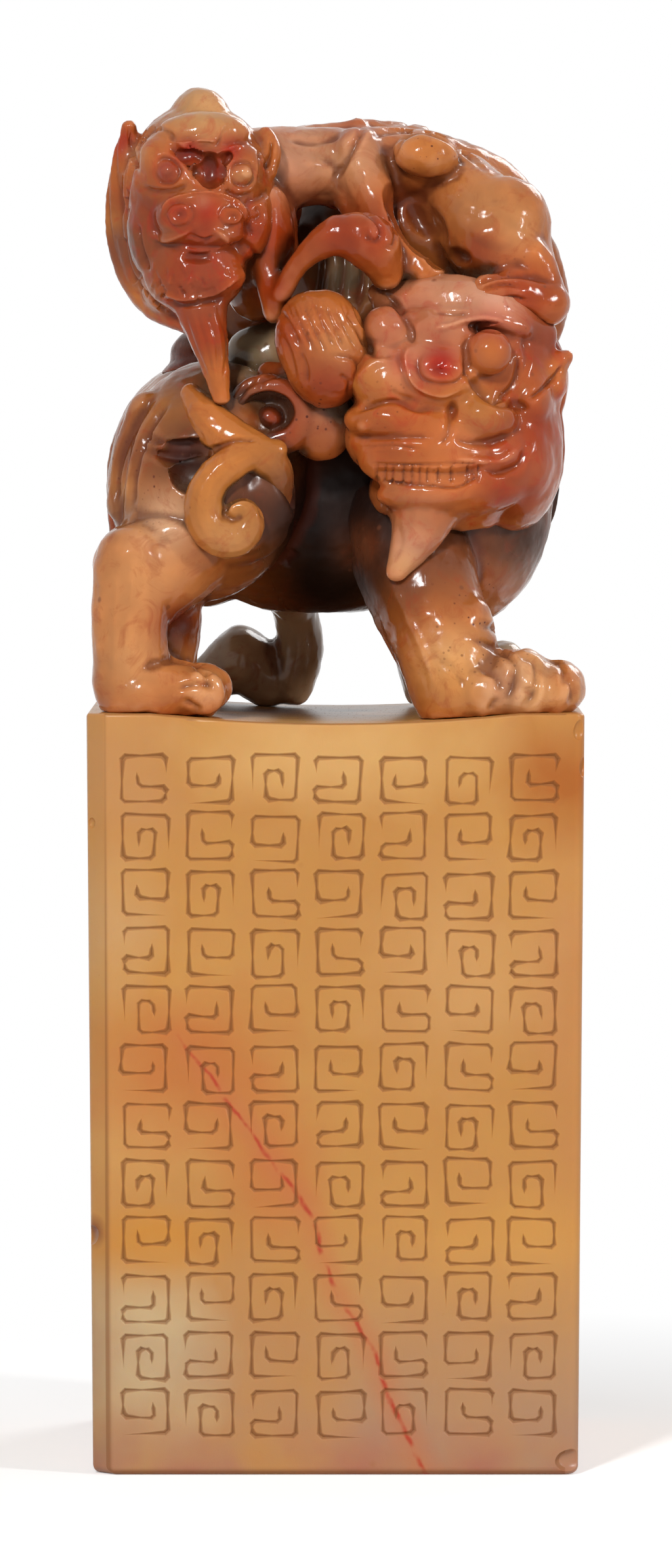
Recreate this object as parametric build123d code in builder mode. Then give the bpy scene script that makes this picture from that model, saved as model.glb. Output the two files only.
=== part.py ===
"""A carved soapstone seal stamp: a tall square block with a relief printing face underneath, and on
top of it a knop of two playing lions, a standing adult that looks back and a cub that climbs over it.
The real thing is one stone, so each sub-part here is one carved form, cut where it meets the next."""

import os
from math import cos, radians, sin, sqrt

from build123d import *

# Driving dimensions in millimetres. The picture side of the seal faces -Y.
BLOCK_HEIGHT = 49.6
BLOCK_TOP_WIDTH = 32.3
BLOCK_FOOT_WIDTH = 31.6
EDGE_ROUND = 0.7
FRONT_LEFT_BEVEL = 1.2
FOOT_ROUND = 0.35
DISH_SAG = 0.65
DISH_HALF_WIDTH = 12.0

# The printing face: a frame round a sunk field, with a square fret standing in it.
RELIEF_DEPTH = 0.9
FRAME_WIDTH = 2.0
FRET_WIDTH = 1.7
FRET_PITCH = 3.4
FRET_TURNS = 3

# Where the sections of an ellipsoid and of a limb's round end lie, in degrees of latitude.
EGG_LATITUDES = (-82, -60, -38, -15, 15, 38, 60, 82)
CAP_LATITUDES = (80, 55, 28)


def spot(x, y, height):
    """A place on the knop, with its height measured from the top of the block."""
    return Vector(x, y, BLOCK_HEIGHT + height)


def ring(plane, across, deep):
    """An elliptical section, drawn as four arcs so that a form has a seam at each quarter."""
    with BuildSketch(plane) as section:
        with BuildLine():
            for quarter_turn in range(4):
                EllipticalCenterArc((0, 0), across, deep, start_angle=90 * quarter_turn, arc_size=90)
        make_face()
    return section.sketch


def egg(centre, radii, turn=(0, 0, 0)):
    """Adds a swelling mass: an ellipsoid lofted from foot to crown, then turned about X, Y and Z."""
    middle = Plane(Location(spot(*centre), turn))
    loft(
        [
            ring(
                middle.offset(radii[2] * sin(radians(latitude))),
                radii[0] * cos(radians(latitude)),
                radii[1] * cos(radians(latitude)),
            )
            for latitude in EGG_LATITUDES
        ]
    )


def limb(*stations, depth=1.0, side=(0, 1, 0)):
    """Adds a limb with round ends, lofted through ellipses square to its path.

    A station is x, y, height and radius. The radius lies square to side, and depth is the
    other radius of the ellipse as a share of it.
    """
    centres = [spot(*station[:3]) for station in stations]
    sizes = [station[3] for station in stations]
    last = len(stations) - 1
    tangents = [
        (centres[min(i + 1, last)] - centres[max(i - 1, 0)]).normalized() for i in range(last + 1)
    ]
    sections = list(zip(centres, tangents, sizes))
    for latitude in reversed(CAP_LATITUDES):
        reach, share = sin(radians(latitude)), cos(radians(latitude))
        start, end = sizes[0], sizes[last]
        sections.insert(0, (centres[0] - tangents[0] * start * reach, tangents[0], start * share))
        sections.append((centres[last] + tangents[last] * end * reach, tangents[last], end * share))
    loft(
        [
            ring(Plane(at, x_dir=along.cross(Vector(*side)), z_dir=along), size, size * depth)
            for at, along, size in sections
        ]
    )


def cut_by(*neighbours):
    """Takes away what the forms beside this one already hold, so that the two meet face to face."""
    for neighbour in neighbours:
        add(neighbour.part, mode=Mode.SUBTRACT)


def block_section(width):
    """Draws the block's square section: three worn corners, and one that the carver cut off."""
    RectangleRounded(width, width, EDGE_ROUND)
    with Locations((-width / 2, -width / 2)):
        Rectangle(FRONT_LEFT_BEVEL * sqrt(2), FRONT_LEFT_BEVEL * sqrt(2), rotation=45, mode=Mode.SUBTRACT)


# The block.
with BuildPart() as seal_block:
    for height, width in (
        (0, BLOCK_FOOT_WIDTH - 2 * FOOT_ROUND),
        (FOOT_ROUND, BLOCK_FOOT_WIDTH),
        (BLOCK_HEIGHT, BLOCK_TOP_WIDTH),
    ):
        with BuildSketch(Plane.XY.offset(height)):
            block_section(width)
    loft(ruled=True)
    # The top is dished from side to side, between the lion's feet.
    dish_radius = (DISH_HALF_WIDTH**2 + DISH_SAG**2) / (2 * DISH_SAG)
    with Locations((0, 0, BLOCK_HEIGHT + dish_radius - DISH_SAG)):
        Cylinder(dish_radius, 2 * BLOCK_TOP_WIDTH, rotation=(90, 0, 0), mode=Mode.SUBTRACT)
    # The field of the printing face is sunk inside its frame.
    field = BLOCK_FOOT_WIDTH - 2 * FOOT_ROUND - 2 * FRAME_WIDTH
    with BuildSketch():
        Rectangle(field, field)
    extrude(amount=RELIEF_DEPTH, mode=Mode.SUBTRACT)


def fret_spiral(turns):
    """The centre line of a square spiral round its middle, from its outer end inwards."""
    reach = turns * FRET_PITCH / 2
    x, y = -reach, -reach
    points = [(x, y)]
    for step in range(2 * turns):
        length = 2 * reach - (max(step - 1, 0) // 2) * FRET_PITCH
        dx, dy = ((1, 0), (0, 1), (-1, 0), (0, -1))[step % 4]
        x, y = x + dx * length, y + dy * length
        points.append((x, y))
    return points


with BuildPart() as seal_relief:
    quarter = field / 4
    with BuildSketch():
        for across, along in ((1, 1), (-1, 1), (-1, -1), (1, -1)):
            corners = [(across * (quarter + x), along * (quarter + y)) for x, y in fret_spiral(FRET_TURNS)]
            with BuildLine():
                Polyline(*corners)
            trace(line_width=FRET_WIDTH)
    extrude(amount=RELIEF_DEPTH)

# The adult lion's body, from its hips on the left to its chest on the right.
with BuildPart() as adult_torso:
    egg((-1.0, 1.5, 14.2), (12.0, 8.4, 8.2))

with BuildPart() as adult_chest:
    egg((7.4, -1.6, 13.6), (7.0, 8.2, 8.6))
    cut_by(adult_torso)

# The neck, and the crest of hair on it that carries the cub.
with BuildPart() as adult_neck:
    egg((4.6, 3.0, 21.6), (8.6, 7.4, 7.0), (0, 8, 0))
    egg((0.8, 3.2, 26.8), (5.0, 4.2, 8.4), (0, -4, 0))
    cut_by(adult_torso, adult_chest)

with BuildPart() as adult_rump:
    egg((-9.0, 2.2, 14.6), (6.3, 9.2, 8.2))
    cut_by(adult_torso)

with BuildPart() as near_thigh:
    egg((-8.3, -7.4, 15.0), (6.4, 6.4, 8.0), (0, 12, 0))
    cut_by(adult_torso, adult_rump)

with BuildPart() as near_hind_leg:
    limb(
        (-9.2, -9.4, 12.2, 4.0),
        (-12.0, -11.3, 8.7, 3.3),
        (-13.5, -12.5, 5.6, 2.25),
        (-13.6, -12.9, 3.5, 2.2),
        (-13.4, -13.0, 1.6, 2.4),
    )
    egg((-13.2, -11.8, 9.6), (2.6, 3.3, 2.3))
    egg((-10.9, -7.6, 5.4), (2.1, 2.8, 4.6))
    cut_by(adult_torso, adult_rump, near_thigh, seal_block)

with BuildPart() as near_hind_paw:
    limb((-13.0, -12.6, 1.0, 2.5), (-11.0, -12.6, 1.3, 2.3), (-9.3, -12.6, 1.2, 1.9), depth=1.3)
    for toe in range(4):
        egg((-8.7, -14.7 + toe * 1.55, 1.3), (1.6, 0.9, 1.5))
    cut_by(near_hind_leg, seal_block)

with BuildPart() as near_foreleg:
    limb(
        (5.4, -6.2, 12.4, 4.0),
        (6.0, -8.8, 9.4, 3.8),
        (7.0, -10.6, 6.4, 3.5),
        (8.0, -11.8, 3.6, 3.3),
        (8.6, -12.2, 1.4, 3.1),
    )
    cut_by(adult_torso, adult_chest, seal_block)

with BuildPart() as near_fore_paw:
    egg((11.2, -11.6, 1.4), (4.7, 4.1, 2.4))
    egg((9.9, -14.3, 1.3), (2.1, 1.5, 1.7))
    egg((12.6, -14.4, 1.4), (1.5, 1.5, 1.8))
    egg((14.6, -12.9, 1.5), (1.5, 1.6, 1.8))
    egg((14.7, -10.2, 1.5), (1.4, 1.5, 1.7))
    cut_by(near_foreleg, seal_block)

with BuildPart() as far_hind_leg:
    limb(
        (-3.4, 7.0, 9.6, 2.6),
        (-2.8, 9.6, 6.4, 1.6),
        (-2.4, 10.8, 3.6, 1.6),
        (-2.9, 11.2, 1.0, 1.5),
        depth=1.5,
    )
    cut_by(adult_torso, adult_rump, seal_block)

with BuildPart() as far_hind_paw:
    limb((-4.6, 11.4, 1.2, 1.9), (-6.4, 11.6, 2.6, 2.4), (-8.6, 11.6, 1.2, 1.6), depth=1.2)
    cut_by(far_hind_leg, seal_block)

with BuildPart() as far_foreleg:
    limb(
        (7.8, 5.4, 12.0, 4.0),
        (8.8, 7.8, 8.0, 3.3),
        (9.6, 9.4, 4.4, 2.9),
        (10.2, 10.0, 1.4, 2.8),
    )
    cut_by(adult_torso, adult_chest, seal_block)

with BuildPart() as far_fore_paw:
    egg((12.2, 10.8, 1.3), (3.6, 3.6, 2.5))
    for toe in range(3):
        egg((14.5, 8.9 + toe * 2.0, 1.1), (1.3, 1.1, 1.6))
    cut_by(far_foreleg, seal_block)

# The adult's head, turned back to look past the cub's beard.
with BuildPart() as adult_head:
    egg((9.0, -6.8, 21.6), (6.3, 6.6, 6.0), (0, 10, 0))
    egg((5.7, -8.9, 22.8), (4.0, 4.9, 4.3))
    egg((11.6, -7.4, 17.2), (3.5, 5.6, 5.6))
    cut_by(adult_torso, adult_chest, adult_neck)

with BuildPart() as adult_muzzle:
    egg((5.7, -11.3, 17.6), (5.2, 4.0, 3.2), (0, 6, 0))
    cut_by(adult_head, adult_chest)

with BuildPart() as adult_jaw:
    egg((7.9, -9.5, 14.9), (5.8, 5.1, 2.9), (0, -8, 0))
    cut_by(adult_head, adult_muzzle, adult_chest, adult_torso, near_foreleg)

with BuildPart() as adult_beard:
    limb(
        (5.8, -11.8, 12.2, 2.3),
        (5.6, -12.4, 10.8, 1.9),
        (4.8, -12.8, 9.2, 1.35),
        (3.8, -12.9, 7.9, 0.75),
        depth=0.75,
    )
    cut_by(adult_jaw, adult_muzzle, adult_head, adult_chest, near_foreleg)

with BuildPart() as adult_nose:
    egg((6.5, -13.6, 22.0), (2.4, 1.9, 1.9))
    cut_by(adult_head, adult_muzzle)

with BuildPart() as adult_eyes:
    egg((10.0, -13.3, 23.2), (1.35, 1.2, 1.5))
    egg((3.4, -12.0, 24.6), (1.2, 1.2, 1.3))
    cut_by(adult_head, adult_muzzle, adult_nose)

with BuildPart() as adult_brow:
    limb(
        (3.8, -10.2, 26.5, 1.5),
        (6.8, -11.0, 26.6, 1.9),
        (10.6, -11.3, 25.9, 1.7),
        (13.2, -9.5, 24.5, 1.3),
    )
    cut_by(adult_head, adult_eyes, adult_neck)

with BuildPart() as adult_ears:
    limb((13.4, -9.2, 20.6, 1.1), (14.4, -9.4, 21.8, 0.95), (15.1, -9.5, 23.1, 0.5), depth=1.2)
    cut_by(adult_head, adult_brow)

with BuildPart() as adult_teeth:
    for tooth in range(7):
        row_place = (3.6 + 0.95 * tooth, -14.9 + 0.09 * (tooth - 2) ** 2, 15.6 + 0.06 * tooth)
        egg(row_place, (0.45, 0.5, 0.7))
    cut_by(adult_jaw, adult_muzzle)

# Mane locks sweep round the back of the neck and the chest.
MANE_LOCKS = (
    ((11.6, 2.0, 22.0, 1.7), (13.2, 1.0, 17.4, 2.0), (12.9, -0.6, 12.4, 1.9), (10.6, -2.4, 8.4, 1.0)),
    ((10.6, 6.0, 20.4, 1.8), (13.2, 5.6, 15.4, 2.0), (12.6, 4.4, 10.6, 1.5), (11.0, 3.0, 7.8, 0.8)),
    ((7.4, 9.2, 20.6, 1.8), (9.6, 10.2, 15.6, 2.0), (9.0, 9.8, 11.0, 1.4), (7.8, 8.8, 8.2, 0.8)),
    ((2.8, 10.2, 20.4, 1.8), (4.4, 11.2, 15.6, 2.0), (4.0, 10.6, 11.0, 1.4), (3.2, 9.4, 8.4, 0.8)),
)
with BuildPart() as adult_mane:
    for lock in MANE_LOCKS:
        limb(*lock, depth=1.3)
    cut_by(adult_torso, adult_chest, adult_neck, adult_head, far_foreleg, near_foreleg)

# The tail lies up over the rump and curls over at its tip.
with BuildPart() as adult_tail:
    limb(
        (-13.2, 3.4, 9.0, 1.5),
        (-13.6, 2.6, 14.4, 1.6),
        (-11.5, 1.8, 19.6, 1.7),
        (-9.2, 1.6, 22.2, 1.6),
        depth=1.6,
    )
    egg((-9.4, 2.2, 23.2), (1.6, 2.4, 1.6))
    cut_by(adult_rump, adult_torso, near_thigh)

# Two scrolls of hair: a long one that curls down over the haunch, and a ring behind the shoulder.
with BuildPart() as haunch_scroll:
    limb((-9.0, -12.2, 20.4, 1.3), (-7.2, -13.0, 18.6, 1.6), (-5.2, -13.2, 16.9, 1.6))
    limb(
        (-5.4, -13.3, 16.5, 1.3),
        (-7.4, -13.6, 15.6, 1.2),
        (-8.6, -13.9, 14.2, 1.2),
        (-8.8, -14.0, 12.6, 1.2),
    )
    limb(
        (-8.7, -14.0, 12.6, 1.2),
        (-7.8, -14.0, 11.2, 1.2),
        (-6.4, -14.0, 10.8, 1.1),
        (-5.5, -14.0, 12.2, 0.9),
    )
    cut_by(near_thigh, adult_torso, near_hind_leg)

with BuildPart() as shoulder_scroll:
    limb(
        (-7.2, -8.6, 21.0, 1.7),
        (-4.0, -9.4, 21.6, 2.0),
        (-1.4, -9.6, 20.0, 2.2),
        (-2.0, -9.8, 17.4, 1.7),
        depth=1.1,
    )
    egg((-4.1, -10.6, 19.2), (1.4, 1.3, 1.2))
    cut_by(near_thigh, adult_torso, adult_chest, adult_neck, haunch_scroll)

with BuildPart() as play_ball:
    egg((-0.7, -12.4, 23.6), (2.9, 2.8, 3.9), (0, -6, 0))
    cut_by(adult_muzzle, adult_head, adult_neck, shoulder_scroll)

# The cub, stretched over the adult's head with its face beside it.
with BuildPart() as cub_torso:
    limb(
        (-5.2, -6.4, 35.2, 2.9),
        (-1.6, -5.6, 35.6, 2.6),
        (2.6, -4.4, 35.2, 3.1),
        (6.6, -1.8, 34.2, 3.7),
        (10.0, -0.6, 31.8, 4.0),
        (11.2, 0.0, 28.8, 3.4),
    )
    cut_by(adult_neck, adult_head, adult_mane)

with BuildPart() as cub_spine:
    limb((-4.6, -3.2, 36.6, 1.2), (1.2, -2.4, 37.5, 1.2), (6.4, 0.6, 36.9, 1.3), (10.4, 1.8, 34.0, 1.2))
    cut_by(cub_torso)

with BuildPart() as cub_chest:
    egg((-5.2, -6.6, 30.6), (2.8, 4.6, 5.2))
    cut_by(cub_torso)

with BuildPart() as cub_head:
    egg((-8.9, -9.3, 34.0), (5.0, 5.6, 5.0))
    egg((-8.9, -8.8, 36.2), (4.1, 4.4, 3.4))
    egg((-8.8, -8.9, 38.2), (2.1, 2.6, 2.5))
    cut_by(cub_torso, cub_chest)

with BuildPart() as cub_muzzle:
    egg((-8.9, -13.6, 32.2), (2.9, 1.9, 1.9))
    cut_by(cub_head)

with BuildPart() as cub_jaw:
    egg((-9.2, -11.4, 28.8), (3.4, 3.2, 3.0))
    cut_by(cub_head, cub_muzzle, cub_chest)

with BuildPart() as cub_beard:
    limb(
        (-9.0, -12.4, 26.8, 2.2),
        (-8.6, -12.8, 24.6, 1.6),
        (-7.9, -13.0, 22.8, 1.2),
        (-7.4, -13.0, 21.4, 0.8),
        (-7.2, -13.0, 20.4, 0.45),
    )
    cut_by(cub_jaw, haunch_scroll, near_thigh, shoulder_scroll)

with BuildPart() as cub_eyes:
    egg((-10.8, -14.0, 35.1), (0.85, 0.8, 0.8))
    egg((-6.1, -13.8, 34.8), (0.9, 0.8, 0.85))
    cut_by(cub_head, cub_muzzle)

with BuildPart() as cub_brows:
    limb((-13.0, -11.0, 35.4, 0.9), (-11.2, -13.2, 37.0, 1.0), (-9.4, -14.0, 36.4, 0.9), depth=0.9)
    limb((-8.2, -14.0, 36.4, 0.9), (-6.4, -13.2, 37.0, 1.0), (-4.8, -11.0, 35.4, 0.9), depth=0.9)
    cut_by(cub_head, cub_eyes)

with BuildPart() as cub_mane:
    limb(
        (-13.0, -7.6, 37.4, 0.9),
        (-13.5, -7.2, 34.4, 1.4),
        (-13.4, -7.0, 31.0, 1.7),
        (-12.4, -7.2, 28.0, 1.6),
        (-10.8, -7.8, 25.8, 1.0),
        depth=2.0,
    )
    cut_by(cub_head, cub_jaw, cub_chest)

with BuildPart() as cub_ears:
    egg((-4.1, -10.4, 35.6), (0.8, 1.1, 1.7), (0, -6, 0))
    egg((-13.4, -9.4, 36.2), (0.8, 1.1, 1.8), (0, 12, 0))
    cut_by(cub_head, cub_brows, cub_torso, cub_chest, cub_mane)

with BuildPart() as cub_foreleg:
    limb((1.2, -6.2, 34.2, 1.6), (2.2, -7.4, 32.2, 1.4), (3.4, -8.6, 29.8, 1.5), (4.6, -9.4, 27.2, 1.7))
    cut_by(cub_torso, adult_head, adult_neck, adult_brow, adult_eyes)

# The near foreleg is bent, and its arch ends in a curled knuckle on the adult's brow.
with BuildPart() as cub_leg_tuft:
    limb(
        (-3.2, -12.0, 26.4, 0.75),
        (-2.2, -12.2, 28.6, 0.9),
        (-0.6, -12.4, 30.4, 1.1),
        (1.0, -12.4, 31.0, 1.4),
    )
    limb((0.6, -12.4, 30.9, 1.3), (2.4, -12.3, 30.6, 1.6), (3.5, -12.0, 29.0, 1.7), (3.3, -11.6, 27.2, 1.5))
    cut_by(cub_foreleg, play_ball, adult_head, adult_brow, adult_neck, adult_eyes)

with BuildPart() as cub_haunch:
    limb(
        (8.2, -5.0, 33.8, 2.8),
        (9.8, -6.6, 31.8, 3.3),
        (11.2, -7.4, 29.6, 3.2),
        (12.6, -7.6, 27.6, 2.4),
        depth=1.15,
    )
    cut_by(cub_torso, adult_head, adult_neck, adult_mane, adult_brow)

with BuildPart() as cub_hip_knob:
    egg((5.6, -6.0, 35.6), (2.1, 2.0, 1.9), (0, 15, 0))
    cut_by(cub_torso, cub_haunch)

with BuildPart() as cub_hind_paw:
    limb((13.2, -9.0, 26.8, 1.9), (11.4, -10.2, 27.4, 1.6), depth=1.4)
    cut_by(cub_haunch, adult_head, adult_brow, adult_neck)

# The far side of the cub: its other two legs and its tail.
with BuildPart() as cub_far_foreleg:
    limb((-4.4, -2.0, 33.0, 2.2), (-5.4, 1.2, 30.0, 2.0), (-5.8, 3.2, 27.0, 1.9), (-5.8, 3.8, 24.4, 2.2))
    cut_by(cub_torso, cub_chest, cub_head, adult_rump, adult_torso, adult_neck, adult_tail)

with BuildPart() as cub_far_haunch:
    limb((8.6, 4.0, 32.6, 3.0), (8.4, 6.4, 29.4, 2.8), (6.8, 8.0, 26.6, 2.2), (4.8, 8.8, 25.0, 1.7))
    cut_by(cub_torso, cub_spine, adult_neck, adult_mane)

with BuildPart() as cub_tail:
    limb((12.6, 2.8, 31.6, 1.3), (14.3, 4.6, 28.2, 1.2), (13.8, 5.8, 24.6, 1.2), (12.0, 6.4, 22.4, 0.8))
    cut_by(cub_torso, cub_far_haunch, adult_mane, adult_neck)

PIECES = {
    "seal_block": seal_block,
    "seal_relief": seal_relief,
    "adult_torso": adult_torso,
    "adult_chest": adult_chest,
    "adult_neck": adult_neck,
    "adult_rump": adult_rump,
    "near_thigh": near_thigh,
    "near_hind_leg": near_hind_leg,
    "near_hind_paw": near_hind_paw,
    "near_foreleg": near_foreleg,
    "near_fore_paw": near_fore_paw,
    "far_hind_leg": far_hind_leg,
    "far_hind_paw": far_hind_paw,
    "far_foreleg": far_foreleg,
    "far_fore_paw": far_fore_paw,
    "adult_head": adult_head,
    "adult_muzzle": adult_muzzle,
    "adult_jaw": adult_jaw,
    "adult_beard": adult_beard,
    "adult_nose": adult_nose,
    "adult_eyes": adult_eyes,
    "adult_brow": adult_brow,
    "adult_ears": adult_ears,
    "adult_teeth": adult_teeth,
    "adult_mane": adult_mane,
    "adult_tail": adult_tail,
    "haunch_scroll": haunch_scroll,
    "shoulder_scroll": shoulder_scroll,
    "play_ball": play_ball,
    "cub_torso": cub_torso,
    "cub_spine": cub_spine,
    "cub_chest": cub_chest,
    "cub_head": cub_head,
    "cub_muzzle": cub_muzzle,
    "cub_jaw": cub_jaw,
    "cub_beard": cub_beard,
    "cub_eyes": cub_eyes,
    "cub_brows": cub_brows,
    "cub_mane": cub_mane,
    "cub_ears": cub_ears,
    "cub_foreleg": cub_foreleg,
    "cub_leg_tuft": cub_leg_tuft,
    "cub_haunch": cub_haunch,
    "cub_hip_knob": cub_hip_knob,
    "cub_hind_paw": cub_hind_paw,
    "cub_far_foreleg": cub_far_foreleg,
    "cub_far_haunch": cub_far_haunch,
    "cub_tail": cub_tail,
}

os.makedirs("parts", exist_ok=True)
for name, piece in PIECES.items():
    piece.part.label = name
    export_step(piece.part, f"parts/{name}.step")
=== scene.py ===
# %% [markdown]
# # A carved soapstone seal
#
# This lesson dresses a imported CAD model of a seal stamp: a square block of honey-coloured stone, and on it
# a knop carved as two lions. The CAD model holds the sizes. Here each group of its forms is cast again as
# one piece of clay, the carver's cuts are drawn into it, and the stone gets its colour, dust and polish.
#
# Shapes are worked in millimetres, because the remesher needs roomy numbers, and turned to metres at the end.

import math
import random

import bmesh
import bpy
import numpy as np
from mathutils import Matrix, Vector


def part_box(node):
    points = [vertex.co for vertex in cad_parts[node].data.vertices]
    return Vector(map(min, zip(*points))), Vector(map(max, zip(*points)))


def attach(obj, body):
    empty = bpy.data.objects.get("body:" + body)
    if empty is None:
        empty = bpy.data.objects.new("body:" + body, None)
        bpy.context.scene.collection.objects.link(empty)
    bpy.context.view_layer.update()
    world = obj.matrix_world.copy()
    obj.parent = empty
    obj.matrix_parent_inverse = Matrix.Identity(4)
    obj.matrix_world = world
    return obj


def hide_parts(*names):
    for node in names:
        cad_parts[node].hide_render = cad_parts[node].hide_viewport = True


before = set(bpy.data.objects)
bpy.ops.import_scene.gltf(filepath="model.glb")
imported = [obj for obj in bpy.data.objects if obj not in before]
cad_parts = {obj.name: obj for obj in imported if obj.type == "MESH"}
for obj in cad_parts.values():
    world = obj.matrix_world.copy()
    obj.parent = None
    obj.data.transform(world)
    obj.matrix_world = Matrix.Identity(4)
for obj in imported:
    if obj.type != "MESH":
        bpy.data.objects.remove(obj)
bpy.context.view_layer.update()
bpy.ops.object.select_all(action="DESELECT")

MM = 0.001
BLOCK_LOW, BLOCK_HIGH = (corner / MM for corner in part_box("seal_block"))
BLOCK_TOP = BLOCK_HIGH.z
print("The block is", [round(side, 1) for side in BLOCK_HIGH - BLOCK_LOW], "mm")

# %% [markdown]
# ## Small tools
#
# A bpy operator acts on what is selected. These helpers select just the pieces they are given, so that the
# cells after them read as steps of the work.

# %% Helpers for selecting, joining and applying modifiers
def only(*pieces):
    """Selects these pieces and nothing else. The first one is the active one."""
    bpy.ops.object.select_all(action="DESELECT")
    for piece in pieces:
        piece.select_set(True)
    bpy.context.view_layer.objects.active = pieces[0]


def modify(piece, kind, **settings):
    """Adds a modifier to the piece and applies it."""
    only(piece)
    modifier = piece.modifiers.new(kind.lower(), kind)
    for setting, value in settings.items():
        setattr(modifier, setting, value)
    bpy.ops.object.modifier_apply(modifier=modifier.name)


def place_mesh(piece):
    """Moves the object's place, turn and scale into its mesh."""
    only(piece)
    bpy.ops.object.transform_apply(location=True, rotation=True, scale=True)


def join(name, pieces):
    """Joins the pieces into one object of that name."""
    only(*pieces)
    bpy.ops.object.join()
    joined = bpy.context.active_object
    joined.name = name
    joined.data.name = name
    return joined


# %% [markdown]
# ## Clay
#
# A form starts as a cast of a CAD node, a pebble or a rope of clay. The forms of one piece are swollen a
# little, fused by a voxel remesh and drawn in again by the same amount. That leaves a small fillet in every
# inner corner, as a worn tool and years of handling do, and keeps the outer size. A last faint swelling and
# sinking, a few tenths of a millimetre high, takes away the smoothness of a machine.

# %% Helpers that make clay forms
BODY_GRAIN = 0.2
HEAD_GRAIN = 0.12


def cast(node, shift=(0, 0, 0)):
    """A copy of a CAD node's mesh, in millimetres, with its loose triangles merged."""
    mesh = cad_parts[node].data.copy()
    mesh.materials.clear()
    mesh.transform(Matrix.Translation(shift) @ Matrix.Scale(1 / MM, 4))
    form = bpy.data.objects.new("cast_" + node, mesh)
    bpy.context.scene.collection.objects.link(form)
    only(form)
    bpy.ops.mesh.customdata_custom_splitnormals_clear()
    bpy.ops.object.mode_set(mode="EDIT")
    bpy.ops.mesh.select_all(action="SELECT")
    bpy.ops.mesh.remove_doubles(threshold=0.002)
    bpy.ops.object.mode_set(mode="OBJECT")
    return form


def pebble(x, y, height, radii, turn=(0, 0, 0), detail=4):
    """An egg-shaped form. Heights are measured from the top of the block."""
    bpy.ops.mesh.primitive_ico_sphere_add(
        subdivisions=detail,
        radius=1,
        location=(x, y, BLOCK_TOP + height),
        rotation=[math.radians(angle) for angle in turn],
        scale=radii,
    )
    form = bpy.context.active_object
    place_mesh(form)
    return form


def rope(*stations):
    """A form drawn out along a path. A station is x, y, height and radius."""
    path = bpy.data.curves.new("rope", "CURVE")
    path.dimensions = "3D"
    path.bevel_depth = 1.0
    path.bevel_resolution = 5
    path.resolution_u = 10
    path.use_fill_caps = True
    spline = path.splines.new("NURBS")
    ends = [stations[0], *stations, stations[-1]]
    spline.points.add(len(ends) - 1)
    for point, (x, y, height, radius) in zip(spline.points, ends):
        point.co = (x, y, BLOCK_TOP + height, 1)
        point.radius = radius
    spline.order_u = 4
    spline.use_endpoint_u = True
    form = bpy.data.objects.new("rope", path)
    bpy.context.scene.collection.objects.link(form)
    only(form)
    bpy.ops.object.convert(target="MESH")
    form = bpy.context.active_object
    caps = [
        pebble(x, y, height, (radius * 0.99,) * 3, detail=3)
        for x, y, height, radius in (stations[0], stations[-1])
    ]
    return join("rope", [form, *caps])


def cloud_texture(name, size, depth):
    """A soft noise for uneven clay, with bumps about as wide as size, in millimetres."""
    texture = bpy.data.textures.new(name, "CLOUDS")
    texture.noise_scale = size
    texture.noise_depth = depth
    return texture


unevenness = cloud_texture("unevenness", 2.4, 1)
tool_marks = cloud_texture("tool_marks", 0.85, 2)


def roughen(piece, texture, strength):
    """Swells and sinks the piece by a texture."""
    modify(piece, "DISPLACE", texture=texture, texture_coords="LOCAL", strength=strength, mid_level=0.5)


def fuse(name, forms, grain, hollows=(), swell=0.12, smoothing=4, uneven=0.22):
    """Fuses forms into one piece of clay with faces about as wide as grain, and scoops its hollows out."""
    piece = join(name, forms)
    modify(piece, "DISPLACE", strength=swell, mid_level=0)
    modify(piece, "REMESH", mode="VOXEL", voxel_size=grain)
    for hollow in hollows:
        modify(piece, "BOOLEAN", object=hollow, operation="DIFFERENCE", solver="MANIFOLD")
        bpy.data.objects.remove(hollow)
    if hollows:
        modify(piece, "REMESH", mode="VOXEL", voxel_size=grain)
    modify(piece, "SMOOTH", factor=0.5, iterations=smoothing)
    modify(piece, "DISPLACE", strength=-swell, mid_level=0)
    roughen(piece, unevenness, uneven)
    roughen(piece, tool_marks, 0.12)
    print(name, "has", len(piece.data.polygons), "faces")
    return piece


def press_on(piece, form):
    """Presses a form onto a finished piece and melts the seam."""
    piece = join(piece.name, [piece, form])
    modify(piece, "REMESH", mode="VOXEL", voxel_size=HEAD_GRAIN)
    modify(piece, "SMOOTH", factor=0.5, iterations=2)
    return piece


# %% [markdown]
# ## Cuts
#
# The carver's marks are drawn as lines on a view of the piece, and the points under a line are pushed in or
# pulled out along their normals. Only the skin that faces the eye moves, so a cut on the cheek leaves the
# back of the head alone. A cut with a hard edge is a V, as a knife leaves, and a soft one is a trough.

# %% Helpers that cut and press the clay
EYES = {
    "front": ((1, 0, 0), (0, 0, 1), (0, -1, 0)),
    "back": ((1, 0, 0), (0, 0, 1), (0, 1, 0)),
    "left": ((0, 1, 0), (0, 0, 1), (-1, 0, 0)),
    "right": ((0, 1, 0), (0, 0, 1), (1, 0, 0)),
    "top": ((1, 0, 0), (0, 1, 0), (0, 0, 1)),
}
# The skin that a tool can reach, in millimetres, looked for in so many parts of a line. It may be turned a
# little away from the eye. The ends of a line keep a part of its depth.
SKIN, PARTS = 0.9, 24
TURNED_AWAY, END_DEPTH = -0.1, 0.15


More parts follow.
